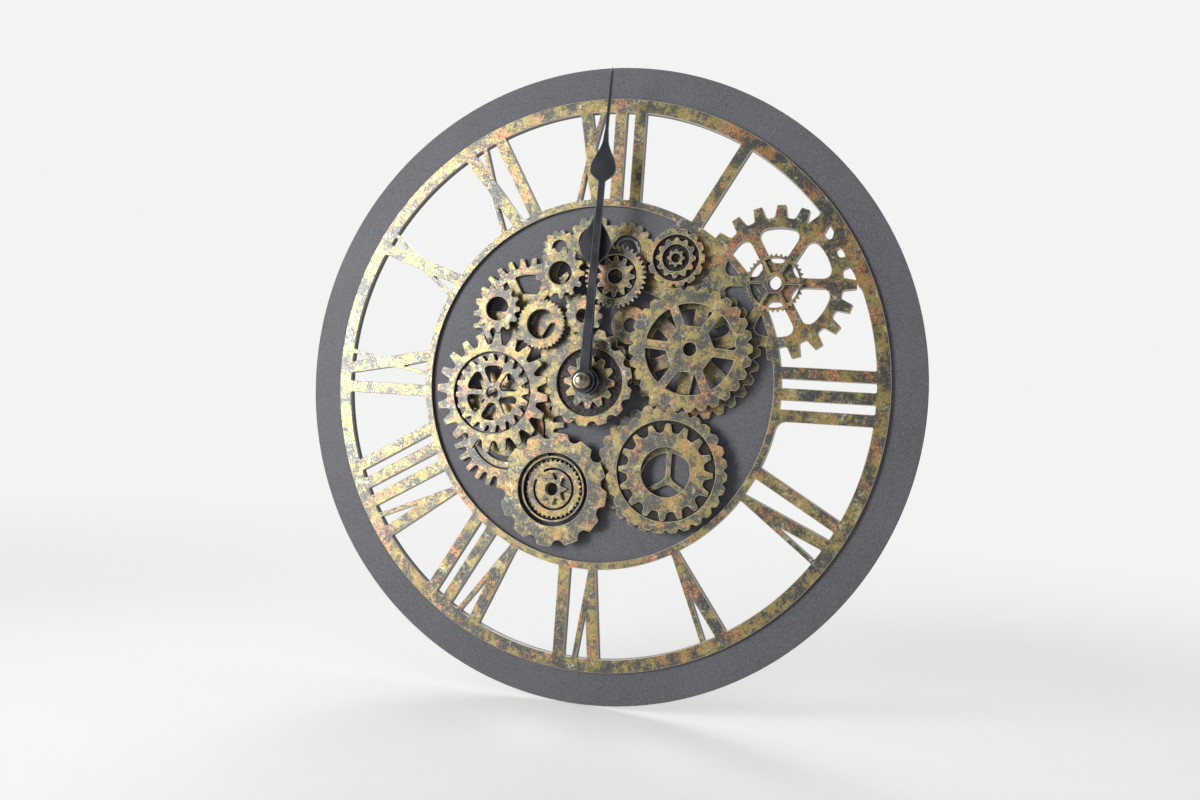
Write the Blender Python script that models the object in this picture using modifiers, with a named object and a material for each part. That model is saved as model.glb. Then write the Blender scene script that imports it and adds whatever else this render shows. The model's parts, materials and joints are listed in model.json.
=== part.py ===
"""Acrylic wall clock with layered decorative gears and a quartz movement.

Metres, +Z up, front facing -Y. The origin is on the hands' axis, in the wall plane.
Plan positions are x to the right and z up, seen from the front.
"""

import math

import bmesh
import bpy
from mathutils import Vector

MM = 0.001

# Gap left between touching pieces, and running clearance of the hands on their shafts
FIT = 0.3
RUNNING = 0.15

# Cut sheet and adhesive film
SHEET = 2.0
FILM = 0.3
STEP = SHEET + FILM

# Quartz movement case
CASE_SIDE = 56.0
CASE_WALL = 1.5
CASE_FRONT = 16.5
COVER = 1.5
GASKET = 1.0

# Dial rings
BASE_R = 165.0
GOLD_OUTER_R = 148.0
OUTER_RING = 6.8
GOLD_INNER_R = 92.1
INNER_RING = 3.7
WINDOW_OUTER_R = GOLD_OUTER_R - OUTER_RING
WINDOW_INNER_R = GOLD_INNER_R + INNER_RING
WINDOW_CORNER = 1.8

# Roman numerals; a point is (distance across, share of the numeral's height)
STROKE = 6.1
STROKE_GAP = 4.4
THIN_STROKE = 2.4
V_WIDTH = 14.4
V_FOOT_FROM = 4.9
V_FOOT = 3.8
V_POINT = (8.9, 0.467)
X_WIDTH = 13.4
X_ADVANCE = 14.5
X_LEFT_WAIST = (4.6, 0.4515)
X_RIGHT_WAIST = (9.4, 0.6057)
X_UPPER_POINT = (8.3, 0.7533)
X_LOWER_POINT = (5.4, 0.3062)
X_FOOT_FROM = 0.9
X_THIN_FOOT = 2.2
X_THICK_FOOT = (8.7, 14.6)
NUMERALS = {0: "XII", 1: "I", 3: "III", 4: "IV", 5: "V", 6: "VI",
            7: "VII", 8: "VIII", 9: "IX", 10: "X", 11: "XI"}

# Large open gear at the upper right, cut in one with the dial ring
OPEN_GEAR_TO_RING = 42.55
OPEN_GEAR_REACH = GOLD_OUTER_R - OPEN_GEAR_TO_RING
OPEN_GEAR_ANGLE = math.radians(31.31)
OPEN_GEAR_AT = (OPEN_GEAR_REACH * math.cos(OPEN_GEAR_ANGLE),
                OPEN_GEAR_REACH * math.sin(OPEN_GEAR_ANGLE))
OPEN_GEAR_TEETH = 20
OPEN_GEAR_TIP = 38.6
OPEN_GEAR_TIP_WIDTH = 4.4
OPEN_GEAR_ROOT = 32.2
OPEN_GEAR_ROOT_WIDTH = 6.4
OPEN_GEAR_RIM = 27.0
OPEN_GEAR_HUB = 9.6
OPEN_GEAR_BORE = 3.6
OPEN_GEAR_SPOKE = 5.0
OPEN_GEAR_CORNER = 3.3

# Hands and shaft
BUSHING_R = 4.0
BUSHING_BORE = 2.8
PIPE_R = 2.5
PIPE_BORE = 1.9
ARBOR_R = 1.6
HAND_SHEET = 1.0
HOUR_HAND_HEIGHT = 17.8
MINUTE_HAND_HEIGHT = 22.0
CAP_HEIGHT = 5.2
CAP_R = 4.0
HOUR_HUB_R = 6.5
MINUTE_HUB_R = 6.0
HOUR_HAND_LENGTH = 101.0
MINUTE_HAND_LENGTH = 158.0
MINUTE_LEAN = -1.4
WASHER_R = 8.7
WASHER = 0.8
RUBBER_WASHER_R = 12.0
NUT_ACROSS = 11.0
NUT = 2.2
BUSHING_BEYOND_NUT = 0.6
ARBOR_IN_CAP = 0.4 * CAP_HEIGHT
PIPE_BEYOND_HAND = 0.3

# Battery
BATTERY_R = 7.0
BATTERY_LENGTH = 48.4
BATTERY_NUB = 1.2
BATTERY_NUB_R = 2.7
BATTERY_Z = 18.9
BATTERY_DEPTH = 7.6
CONTACT_HALF_WIDTH = 5.0
CONTACT_HALF_HEIGHT = 5.5

# Hanger on top of the case
HANGER_SHEET = 1.6
HANGER_FRONT = 2.4
HANGER_HALF_WIDTH = 11.0
HANGER_TOP_HALF_WIDTH = 4.5
HANGER_SIDE = 3.0
HANGER_HEIGHT = 13.5
NAIL_HOLE_FROM = 4.0
NAIL_HOLE_TO = 11.0
NAIL_HOLE_HALF_WIDTH = 5.5
NAIL_HOLE_TOP_HALF_WIDTH = 1.2

# Gear train inside the movement
MOTION_MODULE = 0.75
HOUR_MODULE = 0.8
TRAIN_MODULE = 0.4
PIVOT_R = 0.5
GEAR_SHEET = 1.2
CANNON_TEETH = 8
MOTION_TEETH = 24
MOTION_PINION = 6
HOUR_TEETH = 24
SETTING_TEETH = 12
TRAIN_PINION = 6
CENTRE_TEETH = 48
THIRD_TEETH = 45
SECOND_TEETH = 36
INTERMEDIATE_TEETH = 30
KNOB_R = 5.5
KNOB_BACK = 0.3
KNOB_FRONT = 2.1
KNOB_CLEARANCE = 0.4
ROTOR_R = 2.8
ROTOR_BACK = 2.3
ROTOR_FRONT = 4.6
STATOR_FRONT = 2.9
STATOR = 1.0
STATOR_CLEARANCE = 0.6
PINION_LENGTH = 2.2
COIL_AT = (22.0, -4.9)
COIL_TOP = -1.4
BOARD_BACK = 4.6
BOARD = 1.0

# Depths, measured from the wall towards the front
BASE_BACK = CASE_FRONT + FIT + GASKET + FIT
BASE_FRONT = BASE_BACK + SHEET
HOUR_HAND_FRONT = BASE_FRONT + HOUR_HAND_HEIGHT
MINUTE_HAND_FRONT = BASE_FRONT + MINUTE_HAND_HEIGHT

PARTS = None
CUTTERS = None
MATERIALS = {}

FINISHES = {
    "charcoal": ((0.075, 0.075, 0.082), 0.62, 0.0),
    "gold": ((0.50, 0.42, 0.24), 0.45, 0.35),
    "black_acrylic": ((0.012, 0.012, 0.013), 0.25, 0.0),
    "satin_black": ((0.020, 0.021, 0.026), 0.32, 0.4),
    "dark_metal": ((0.10, 0.10, 0.105), 0.3, 1.0),
    "pewter": ((0.17, 0.155, 0.14), 0.35, 0.9),
    "case_plastic": ((0.015, 0.015, 0.016), 0.5, 0.0),
    "train_plastic": ((0.75, 0.74, 0.70), 0.45, 0.0),
    "brass": ((0.60, 0.44, 0.16), 0.3, 1.0),
    "copper": ((0.55, 0.20, 0.08), 0.4, 0.8),
    "steel": ((0.55, 0.55, 0.56), 0.3, 1.0),
    "rubber": ((0.02, 0.02, 0.02), 0.85, 0.0),
    "board": ((0.03, 0.14, 0.06), 0.5, 0.0),
    "battery": ((0.42, 0.40, 0.36), 0.35, 0.6),
}


def level_front(level):
    """Depth of the front face of a sheet glued at this level; the base is level 0."""
    return BASE_FRONT + STEP * level


def clear_scene():
    for obj in list(bpy.data.objects):
        bpy.data.objects.remove(obj, do_unlink=True)


def new_collection(name):
    made = bpy.data.collections.new(name)
    bpy.context.scene.collection.children.link(made)
    return made


def material(name):
    if name not in MATERIALS:
        colour, roughness, metallic = FINISHES[name]
        made = bpy.data.materials.new(name)
        made.use_nodes = True
        shader = made.node_tree.nodes["Principled BSDF"]
        shader.inputs["Base Color"].default_value = (*colour, 1.0)
        shader.inputs["Roughness"].default_value = roughness
        shader.inputs["Metallic"].default_value = metallic
        MATERIALS[name] = made
    return MATERIALS[name]


# Outlines in millimetres

# A root width that leaves no flat between the teeth
WHOLE_PITCH = 100.0


def polar(radius, degrees, centre=(0.0, 0.0)):
    angle = math.radians(degrees)
    return (centre[0] + radius * math.cos(angle), centre[1] + radius * math.sin(angle))


def circle(radius, steps=32, centre=(0.0, 0.0), phase=0.0):
    return [polar(radius, phase + 360.0 * k / steps, centre) for k in range(steps)]


def arc(radius, start, end, steps, centre=(0.0, 0.0)):
    return [polar(radius, start + (end - start) * k / steps, centre) for k in range(steps + 1)]


def gear(teeth, tip, root, tip_width, root_width, phase=0.0, centre=(0.0, 0.0)):
    """Outline of a gear; a width of zero gives a pointed tooth or a pointed gap."""
    pitch = 360.0 / teeth
    half_tip = math.degrees(tip_width / (2.0 * tip))
    half_root = min(math.degrees(root_width / (2.0 * root)), pitch / 2.0)
    points = []
    for k in range(teeth):
        middle = phase + k * pitch
        if half_root < pitch / 2.0 - 0.01:
            points.append(polar(root, middle - half_root, centre))
        if half_tip > 0.01:
            points.append(polar(tip, middle - half_tip, centre))
            points.append(polar(tip, middle + half_tip, centre))
        else:
            points.append(polar(tip, middle, centre))
        points.append(polar(root, middle + half_root, centre))
    return points


def rounded(points, radius, steps=2, sharpest=150.0):
    """Rounds each corner whose inner angle is under the sharpest value."""
    result = []
    count = len(points)
    for k in range(count):
        here = Vector(points[k])
        before = Vector(points[k - 1]) - here
        after = Vector(points[(k + 1) % count]) - here
        angle = before.angle(after)
        if angle > math.radians(sharpest):
            result.append(tuple(here))
            continue
        reach = min(radius / math.tan(angle / 2.0), 0.42 * before.length, 0.42 * after.length)
        start = here + before.normalized() * reach
        end = here + after.normalized() * reach
        for j in range(steps + 1):
            t = j / steps
            result.append(tuple(start * (1 - t) ** 2 + here * 2 * t * (1 - t) + end * t ** 2))
    return result


def spoke_windows(spokes, phase, spoke_width, inner, outer, centre=(0.0, 0.0), corner=0.0,
                  arc_steps=3, straight_inner=True):
    """Openings between spokes, whose sides run parallel to the spokes."""
    loops = []
    for k in range(spokes):
        first = phase + 360.0 * k / spokes
        second = first + 360.0 / spokes
        half = spoke_width / 2.0
        inner_turn = math.degrees(math.asin(half / inner))
        outer_turn = math.degrees(math.asin(half / outer))
        inner_steps = 1 if straight_inner else 2
        loop = arc(inner, first + inner_turn, second - inner_turn, inner_steps, centre)
        loop += reversed(arc(outer, first + outer_turn, second - outer_turn, arc_steps, centre))
        loops.append(rounded(loop, corner, 2, 140.0) if corner else loop)
    return loops


# Roman numerals as windows between strokes

def stroke_end(side, radius):
    return (side, math.sqrt(radius * radius - side * side))


def inner_point(start, point):
    """A point of a letter inside the numeral, from its left side and its share of the height."""
    across, share = point
    return (start + across, WINDOW_INNER_R + share * (WINDOW_OUTER_R - WINDOW_INNER_R))


def glyph_sides(letter, start):
    """Left side, right side and inner windows of one letter, in the numeral's own plan."""
    top = WINDOW_OUTER_R
    bottom = WINDOW_INNER_R
    if letter == "I":
        left = [stroke_end(start, top), stroke_end(start, bottom)]
        right = [stroke_end(start + STROKE, top), stroke_end(start + STROKE, bottom)]
        return left, right, []
    if letter == "V":
        left = [stroke_end(start, top), stroke_end(start + V_FOOT_FROM, bottom)]
        foot = start + V_FOOT_FROM + V_FOOT
        right = [stroke_end(start + V_WIDTH, top), stroke_end(foot, bottom)]
        window = [stroke_end(start + STROKE, top),
                  stroke_end(start + V_WIDTH - THIN_STROKE, top),
                  inner_point(start, V_POINT)]
        return left, right, [window]
    left = [stroke_end(start, top), inner_point(start, X_LEFT_WAIST),
            stroke_end(start + X_FOOT_FROM, bottom)]
    right = [stroke_end(start + X_WIDTH, top), inner_point(start, X_RIGHT_WAIST),
             stroke_end(start + X_THICK_FOOT[1], bottom)]
    upper = [stroke_end(start + STROKE, top),
             stroke_end(start + X_WIDTH - THIN_STROKE, top),
             inner_point(start, X_UPPER_POINT)]
    lower = [stroke_end(start + X_FOOT_FROM + X_THIN_FOOT, bottom),
             inner_point(start, X_LOWER_POINT),
             stroke_end(start + X_THICK_FOOT[0], bottom)]
    return left, right, [upper, lower]


def numeral_sides(text):
    widths = {"I": STROKE, "V": V_WIDTH, "X": X_ADVANCE}
    total = sum(widths[letter] for letter in text) + STROKE_GAP * (len(text) - 1)
    start = -total / 2.0
    glyphs = []
    for letter in text:
        glyphs.append(glyph_sides(letter, start))
        start += widths[letter] + STROKE_GAP
    return glyphs


def placed_on_dial(point, hour):
    """A numeral's plan point (across, out) at its hour on the dial."""
    angle = math.radians(30.0 * hour)
    across, out = point
    return (out * math.sin(angle) + across * math.cos(angle),
            out * math.cos(angle) - across * math.sin(angle))


def arc_between(start, end, steps):
    """Points inside an arc about the hands' axis, between two points, turning clockwise."""
    radius = math.hypot(*start)
    first = math.degrees(math.atan2(start[1], start[0]))
    last = math.degrees(math.atan2(end[1], end[0]))
    if last > first:
        last -= 360.0
    return arc(radius, first, last, steps)[1:-1]


def dial_windows(corner):
    """Every opening between the outer ring and the inner ring."""
    loops = []
    ends = []
    for hour, text in NUMERALS.items():
        glyphs = numeral_sides(text)
        for _, _, windows in glyphs:
            loops += [[placed_on_dial(p, hour) for p in window] for window in windows]
        for (_, right, _), (left, _, _) in zip(glyphs, glyphs[1:]):
            loops.append([placed_on_dial(p, hour) for p in right + left[::-1]])
        first = [placed_on_dial(p, hour) for p in glyphs[0][0]]
        last = [placed_on_dial(p, hour) for p in glyphs[-1][1]]
        ends.append((hour, first, last))
    for k, (hour, _, last) in enumerate(ends):
        after, first, _ = ends[(k + 1) % len(ends)]
        steps = 6 if (after - hour) % 12 > 1 else 3
        loop = [last[0]] + arc_between(last[0], first[0], steps) + first
        loop += list(reversed(arc_between(last[-1], first[-1], steps))) + list(reversed(last[1:]))
        loops.append(loop)
    if corner:
        loops = [rounded(loop, corner, 1) for loop in loops]
    return loops


# Objects

def link(obj, finish, cutter=False):
    (CUTTERS if cutter else PARTS).objects.link(obj)
    obj.data.materials.clear()
    obj.data.materials.append(material(finish))
    return obj


def sheet_curve(name, loops, thickness):
    """A flat outline with holes, extruded about its middle plane."""
    curve = bpy.data.curves.new(name, "CURVE")
    curve.dimensions = "2D"
    curve.fill_mode = "BOTH"
    curve.extrude = thickness * MM / 2.0
    for loop in loops:
        spline = curve.splines.new("POLY")
        spline.points.add(len(loop) - 1)
        for point, (across, up) in zip(spline.points, loop):
            point.co = (across * MM, up * MM, 0.0, 1.0)
        spline.use_cyclic_u = True
    return bpy.data.objects.new(name, curve)


def stand_up(obj, centre, front, thickness):
    """Turns a flat outline to face the front and sets its front face at this depth."""
    obj.rotation_euler = (math.pi / 2.0, 0.0, 0.0)
    obj.location = (centre[0] * MM, -(front - thickness / 2.0) * MM, centre[1] * MM)
    return obj


def welded(obj):
    """The evaluated object as a mesh object with its seams closed."""
    bpy.context.view_layer.update()
    graph = bpy.context.evaluated_depsgraph_get()
    mesh = bpy.data.meshes.new_from_object(obj.evaluated_get(graph))
    edit = bmesh.new()
    edit.from_mesh(mesh)
    bmesh.ops.remove_doubles(edit, verts=edit.verts, dist=1e-6)
    bmesh.ops.recalc_face_normals(edit, faces=edit.faces)
    edit.to_mesh(mesh)
    edit.free()
    return mesh


def as_mesh(obj, finish, cutter=False):
    """Replaces a curve object by its mesh, in the same place."""
    name = obj.name
    holder = CUTTERS if cutter else PARTS
    if obj.name not in holder.objects:
        holder.objects.link(obj)
    mesh = welded(obj)
    place = obj.matrix_world.copy()
    bpy.data.objects.remove(obj, do_unlink=True)
    mesh.name = name
    made = bpy.data.objects.new(name, mesh)
    made.matrix_world = place
    return link(made, finish, cutter)


def plate(name, loops, front, finish, centre=(0.0, 0.0), thickness=SHEET, cutter=False):
    """A cut sheet piece with its front face at this depth, as a mesh."""
    obj = stand_up(sheet_curve(name, loops, thickness), centre, front, thickness)
    return as_mesh(obj, finish, cutter)


def box(name, low, high, finish, cutter=False):
    """A box from its lowest to its highest corner, in millimetres."""
    mesh = bpy.data.meshes.new(name)
    edit = bmesh.new()
    bmesh.ops.create_cube(edit, size=1.0)
    size = [high[k] - low[k] for k in range(3)]
    bmesh.ops.scale(edit, vec=[s * MM for s in size], verts=edit.verts)
    edit.to_mesh(mesh)
    edit.free()
    obj = bpy.data.objects.new(name, mesh)
    obj.location = [(low[k] + high[k]) * MM / 2.0 for k in range(3)]
    return link(obj, finish, cutter)


def rod(name, radius, centre, back, front, finish, steps=20, cutter=False):
    """A cylinder along the depth, from its back depth to its front depth."""
    return plate(name, [circle(radius, steps)], front, finish, centre, front - back, cutter)


def apply_booleans(obj, others, operation):
    for other in others:
        other.hide_render = True
        other.display_type = "WIRE"
        modifier = obj.modifiers.new(operation.title() + " " + other.name, "BOOLEAN")
        modifier.operation = operation
        modifier.solver = "EXACT"
        modifier.object = other
    mesh = welded(obj)
    obj.modifiers.clear()
    old = obj.data
    finish = old.materials[0]
    name = old.name
    obj.data = mesh
    bpy.data.meshes.remove(old)
    mesh.name = name
    mesh.materials.clear()
    mesh.materials.append(finish)
    for other in others:
        bpy.data.objects.remove(other, do_unlink=True)
    return obj


def tidy_flats(obj):
    """Merges the flat faces that the joins left split, and closes short seams."""
    edit = bmesh.new()
    edit.from_mesh(obj.data)
    bmesh.ops.dissolve_limit(edit, angle_limit=math.radians(0.05), verts=edit.verts,
                             edges=edit.edges)
    bmesh.ops.triangulate(edit, faces=edit.faces)
    edit.to_mesh(obj.data)
    edit.free()
    return obj


def fuse(obj, others):
    return apply_booleans(obj, others, "UNION")


def cut(obj, others):
    return apply_booleans(obj, others, "DIFFERENCE")


# Base and overlay

def open_gear_loops(corner):
    outline = gear(OPEN_GEAR_TEETH, OPEN_GEAR_TIP, OPEN_GEAR_ROOT, OPEN_GEAR_TIP_WIDTH,
                   OPEN_GEAR_ROOT_WIDTH, 0.0, OPEN_GEAR_AT)
    windows = spoke_windows(6, 0.0, OPEN_GEAR_SPOKE, OPEN_GEAR_HUB, OPEN_GEAR_RIM,
                            OPEN_GEAR_AT, corner, 3, False)
    bore = circle(OPEN_GEAR_BORE, 12, OPEN_GEAR_AT)
    return [outline, *windows, bore]


def moved(points, place):
    return [(x + place[0], z + place[1]) for x, z in points]


def ring_joint_loops():
    """The sheet between the open gear and the ring, with its drop and diamond holes."""
    near_gear = [(39.4, -0.8), (36.9, 5.2), (34.4, 8.7), (30.9, 7.7), (28.9, 1.2), (21.9, 19.2),
                 (10.4, 27.2), (18.4, 33.4)]
    ring_middle = GOLD_OUTER_R - OUTER_RING / 2.0
    outline = moved(near_gear, OPEN_GEAR_AT) + [polar(ring_middle, 40.4), polar(ring_middle, 18.3)]
    drop = [(23.7, 29.4), (25.8, 25.6), (25.1, 22.8), (23.7, 22.2), (22.2, 22.8), (21.5, 25.6)]
    diamond = [(27.7, 17.0), (29.9, 16.8), (31.8, 14.2), (31.3, 12.6), (29.2, 12.8)]
    return [outline, moved(drop, OPEN_GEAR_AT), moved(diamond, OPEN_GEAR_AT)]


def base_plate():
    base = plate("base_plate", [circle(BASE_R, 84), *dial_windows(0.0)], BASE_FRONT, "charcoal")
    gear_part = plate("base_open_gear", open_gear_loops(0.0), BASE_FRONT, "charcoal", cutter=True)
    joint = plate("base_ring_joint", ring_joint_loops(), BASE_FRONT, "charcoal", cutter=True)
    fuse(base, [gear_part, joint])
    hole = rod("base_hole", BUSHING_R + FIT, (0.0, 0.0), BASE_BACK - 1.0, BASE_FRONT + 1.0,
               "charcoal", 16, True)
    return tidy_flats(cut(base, [hole]))


# Flat gears of the overlay: place, teeth, tip, root, tip width, root width, phase
FLAT_RIGHT = ((50.4, 18.1), 28, 34.1, 30.4, 3.0, WHOLE_PITCH, 3.0)
FLAT_LOWER = ((37.1, -41.3), 28, 32.5, 30.0, 3.0, WHOLE_PITCH, 2.0)
FLAT_TOP = ((12.0, 69.1), 18, 14.5, 12.4, 1.8, WHOLE_PITCH, 0.0)
FLAT_BY_HAND = ((-6.5, 73.5), 13, 13.4, 10.9, 2.2, WHOLE_PITCH, 8.0)
FLAT_SMALL = ((-24.4, 69.9), 13, 9.4, 7.7, 1.4, WHOLE_PITCH, 248.5)
FLAT_DISC_AT = (16.9, 30.7)
FLAT_DISC_R = 9.9
FLAT_DISC_HOLE = 3.6
THREE_SPOKE_AT = (42.1, -47.0)


def flat_outline(spec):
    centre, teeth, tip, root, tip_width, root_width, phase = spec
    return gear(teeth, tip, root, tip_width, root_width, phase, centre)


def dial_overlay():
    front = level_front(1)
    outline = [circle(GOLD_OUTER_R, 84), *dial_windows(WINDOW_CORNER), circle(GOLD_INNER_R, 60)]
    overlay = plate("dial_overlay", outline, front, "gold")
    others = [
        ("open_gear", open_gear_loops(OPEN_GEAR_CORNER)),
        ("ring_joint", ring_joint_loops()),
        ("bridge", [[(21.0, 49.0), (25.0, 62.0), (27.0, 76.0), (40.0, 85.0), (51.0, 80.0),
                     (60.5, 73.0), (62.0, 60.0), (66.0, 57.0), (66.0, 52.0), (50.0, 51.0),
                     (34.0, 44.0)]]),
        ("flat_right", [flat_outline(FLAT_RIGHT),
                        *spoke_windows(6, 20.0, 7.0, 9.0, 22.2, FLAT_RIGHT[0])]),
        ("flat_lower", [flat_outline(FLAT_LOWER),
                        *spoke_windows(3, 90.0, 2.6, 2.6, 14.0, THREE_SPOKE_AT, 0.0, 5)]),
        ("flat_top", [flat_outline(FLAT_TOP), circle(7.9, 18, FLAT_TOP[0])]),
        ("flat_by_hand", [flat_outline(FLAT_BY_HAND), circle(7.4, 16, FLAT_BY_HAND[0])]),
        ("flat_small", [flat_outline(FLAT_SMALL), circle(4.1, 12, FLAT_SMALL[0])]),
        ("flat_disc", [circle(FLAT_DISC_R, 22, FLAT_DISC_AT),
                       circle(FLAT_DISC_HOLE, 12, FLAT_DISC_AT)]),
    ]
    joined = [plate("overlay_" + name, loops, front, "gold", cutter=True)
              for name, loops in others]
    return tidy_flats(fuse(overlay, joined))


# Raised gears: name, level, place, teeth, tip, root, tip width, root width, phase, hole radius
GEARS = [
    ("left_ring_gear", 4, (-53.8, -8.4), 20, 31.3, 25.4, 3.3, 5.8, -2.0, 21.6),
    ("lower_ring_gear", 3, (-17.3, -56.2), 12, 29.4, 26.2, 7.4, 10.7, -5.0, 19.0),
    ("lower_star_pinion", 3, (-17.7, -56.0), 8, 8.2, 5.1, 0.0, 3.4, 4.0, 3.4),
    ("right_ring_gear", 3, (41.7, -42.0), 28, 31.2, 29.0, 3.0, WHOLE_PITCH, -1.5, 25.4),
    ("right_inner_gear", 3, (41.6, -42.6), 16, 24.3, 19.9, 2.4, 4.6, 0.0, 12.6),
    ("centre_ring_gear", 5, (0.0, 0.0), 13, 22.7, 20.1, 5.0, 7.0, 15.0, 17.5),
    ("centre_pinion", 5, (0.0, 0.0), 12, 13.5, 10.1, 1.2, WHOLE_PITCH, 0.0, BUSHING_R + FIT),
    ("upper_left_pinion", 4, (-54.1, 35.9), 13, 12.7, 10.3, 2.0, 3.4, 0.0, 6.3),
    ("fine_tooth_gear", 4, (-29.0, 28.7), 36, 13.1, 12.1, 0.0, WHOLE_PITCH, 0.0, 7.8),
    ("upper_pinion", 4, (-20.7, 55.6), 13, 13.4, 10.8, 2.0, 3.4, 0.0, 6.2),
    ("top_ring_gear", 4, (9.2, 54.5), 36, 16.2, 14.5, 0.0, WHOLE_PITCH, 0.0, 11.2),
    ("top_inner_gear", 4, (9.0, 54.6), 12, 10.6, 7.8, 1.4, 3.0, 0.0, 4.0),
    ("top_right_ring", 3, (39.5, 65.1), 14, 14.9, 13.2, 3.6, 5.0, 0.0, 11.9),
    ("top_right_middle_ring", 3, (39.5, 65.1), 12, 10.3, 8.5, 1.4, 3.4, 0.0, 7.0),
    ("top_right_star", 3, (39.5, 65.1), 8, 4.6, 3.4, 0.0, 2.4, 0.0, 2.5),
    ("small_pinion", 3, (-7.6, 34.1), 12, 10.7, 8.8, 1.8, 3.2, 0.0, 3.6),
    ("centre_back_gear", 2, (-5.0, 3.0), 20, 25.5, 23.0, 3.4, WHOLE_PITCH, 0.0, 0.0),
]

# Black spacers: name, first level, last level, place, outer radius, inner radius
SPACERS = [
    ("left_gear_spacer", 2, 3, (-53.7, -8.4), 23.9, 17.6),
    ("lower_gear_spacer", 2, 2, (-17.3, -56.2), 25.0, 19.6),
    ("right_gear_spacer", 2, 2, (41.7, -42.2), 27.6, 17.0),
    ("spoked_gear_spacer", 2, 3, (50.3, 19.3), 27.4, 23.4),
    ("centre_spacer", 3, 4, (0.0, 0.0), 19.2, BUSHING_R + FIT),
    ("upper_left_spacer", 2, 3, (-54.1, 35.9), 9.6, 6.9),
    ("fine_tooth_spacer", 2, 3, (-29.0, 28.7), 9.4, 7.9),
    ("upper_spacer", 2, 3, (-20.7, 55.6), 10.0, 6.8),
    ("top_gear_spacer", 2, 3, (9.1, 54.5), 13.2, 6.6),
    ("top_right_disc", 2, 2, (39.5, 65.1), 13.0, 2.0),
]

LEFT_INNER_AT = (-53.6, -8.5)
SPOKED_GEAR_AT = (50.3, 19.3)
SPOKED_WHEEL_AT = (OPEN_GEAR_AT[0] - 0.8, OPEN_GEAR_AT[1] - 0.6)
SLOTTED_GEAR_AT = (-17.4, -56.1)
UPPER_FLUSH_AT = (-39.1, 32.6)
LOWER_FLUSH_AT = (-46.1, -27.1)
FLUSH_TEETH = 28
FLUSH_TIP = 31.5


def round_steps(radius):
    """Sides for a round edge of this radius."""
    return int(min(32, max(12, 4 * round(radius / 3.2))))


def raised_gears():
    for name, level, centre, teeth, tip, root, tip_width, root_width, phase, hole in GEARS:
        loops = [gear(teeth, tip, root, tip_width, root_width, phase)]
        if hole:
            loops.append(circle(hole, round_steps(hole)))
        obj = plate(name, loops, level_front(level), "gold", centre)
        if name == "centre_back_gear":
            hub = rod("back_gear_hole", BUSHING_R + FIT, (0.0, 0.0), level_front(1),
                      level_front(3), "gold", 16, True)
            cut(obj, [hub])


def spacers():
    for name, first, last, centre, outer, inner in SPACERS:
        steps = 16 if outer < 15.0 else 20
        loops = [circle(outer, steps), circle(inner, steps)]
        front = level_front(last)
        thickness = front - (level_front(first) - SHEET)
        plate(name, loops, front, "black_acrylic", centre, thickness)


def spoked_gears():
    loops = [gear(20, 20.7, 17.0, 2.4, 4.2, 5.5), circle(3.3, 16)]
    loops += spoke_windows(6, 0.0, 2.6, 5.2, 14.4, (0.0, 0.0), 1.5, 3, False)
    plate("left_spoked_gear", loops, level_front(4), "gold", LEFT_INNER_AT)

    loops = [gear(28, 31.4, 28.7, 3.0, WHOLE_PITCH, 3.0), circle(3.5, 14)]
    loops += spoke_windows(6, -5.0, 4.5, 12.2, 23.0, (0.0, 0.0), 0.0, 3)
    plate("spoked_plate_gear", loops, level_front(4), "gold", SPOKED_GEAR_AT)

    loops = [gear(36, 14.5, 13.4, 0.0, WHOLE_PITCH, 0.0), circle(3.4, 12)]
    loops += spoke_windows(6, 0.0, 1.3, 5.2, 12.2, (0.0, 0.0), 0.0, 3, False)
    plate("spoked_wheel", loops, level_front(2), "gold", SPOKED_WHEEL_AT)

    slot = arc(11.1, 155.0, 485.0, 14) + list(reversed(arc(9.9, 155.0, 485.0, 14)))
    loops = [gear(36, 15.3, 14.2, 0.0, WHOLE_PITCH, 0.0), circle(3.4, 12), slot]
    plate("lower_slotted_gear", loops, level_front(2), "gold", SLOTTED_GEAR_AT)

    thickness = level_front(3) - (level_front(2) - SHEET)
    loops = [circle(17.0, 32), circle(16.1, 32)]
    plate("lower_thin_ring", loops, level_front(3), "gold", (-17.1, -55.9), thickness)


def meshed_phase(centre_a, teeth_a, phase_a, centre_b, teeth_b):
    """Phase that puts the teeth of gear b in the gaps of gear a."""
    towards_b = math.degrees(math.atan2(centre_b[1] - centre_a[1], centre_b[0] - centre_a[0]))
    pitch_a = 360.0 / teeth_a
    pitch_b = 360.0 / teeth_b
    share = ((towards_b - phase_a) / pitch_a) % 1.0
    return towards_b + 180.0 - ((0.5 - share) % 1.0) * pitch_b


def flush_gears():
    upper_phase = 68.5 + 180.0 / FLUSH_TEETH
    loops = [gear(FLUSH_TEETH, FLUSH_TIP, 26.5, 2.4, 4.0, upper_phase), circle(4.0, 12)]
    loops += spoke_windows(6, 0.0, 5.0, 13.0, 22.6)
    plate("upper_flush_gear", loops, level_front(1), "gold", UPPER_FLUSH_AT)

    lower_phase = meshed_phase(UPPER_FLUSH_AT, FLUSH_TEETH, upper_phase, LOWER_FLUSH_AT,
                               FLUSH_TEETH)
    slot = arc(21.2, 200.0, 500.0, 14) + list(reversed(arc(20.2, 200.0, 500.0, 14)))
    annulus = arc(17.0, 185.0, 515.0, 12) + list(reversed(arc(14.0, 185.0, 515.0, 12)))
    loops = [gear(FLUSH_TEETH, FLUSH_TIP, 25.7, 2.6, 3.6, lower_phase), circle(4.0, 12)]
    loops += [slot, annulus]
    plate("lower_flush_gear", loops, level_front(1), "gold", LOWER_FLUSH_AT)


# Hands

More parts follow.
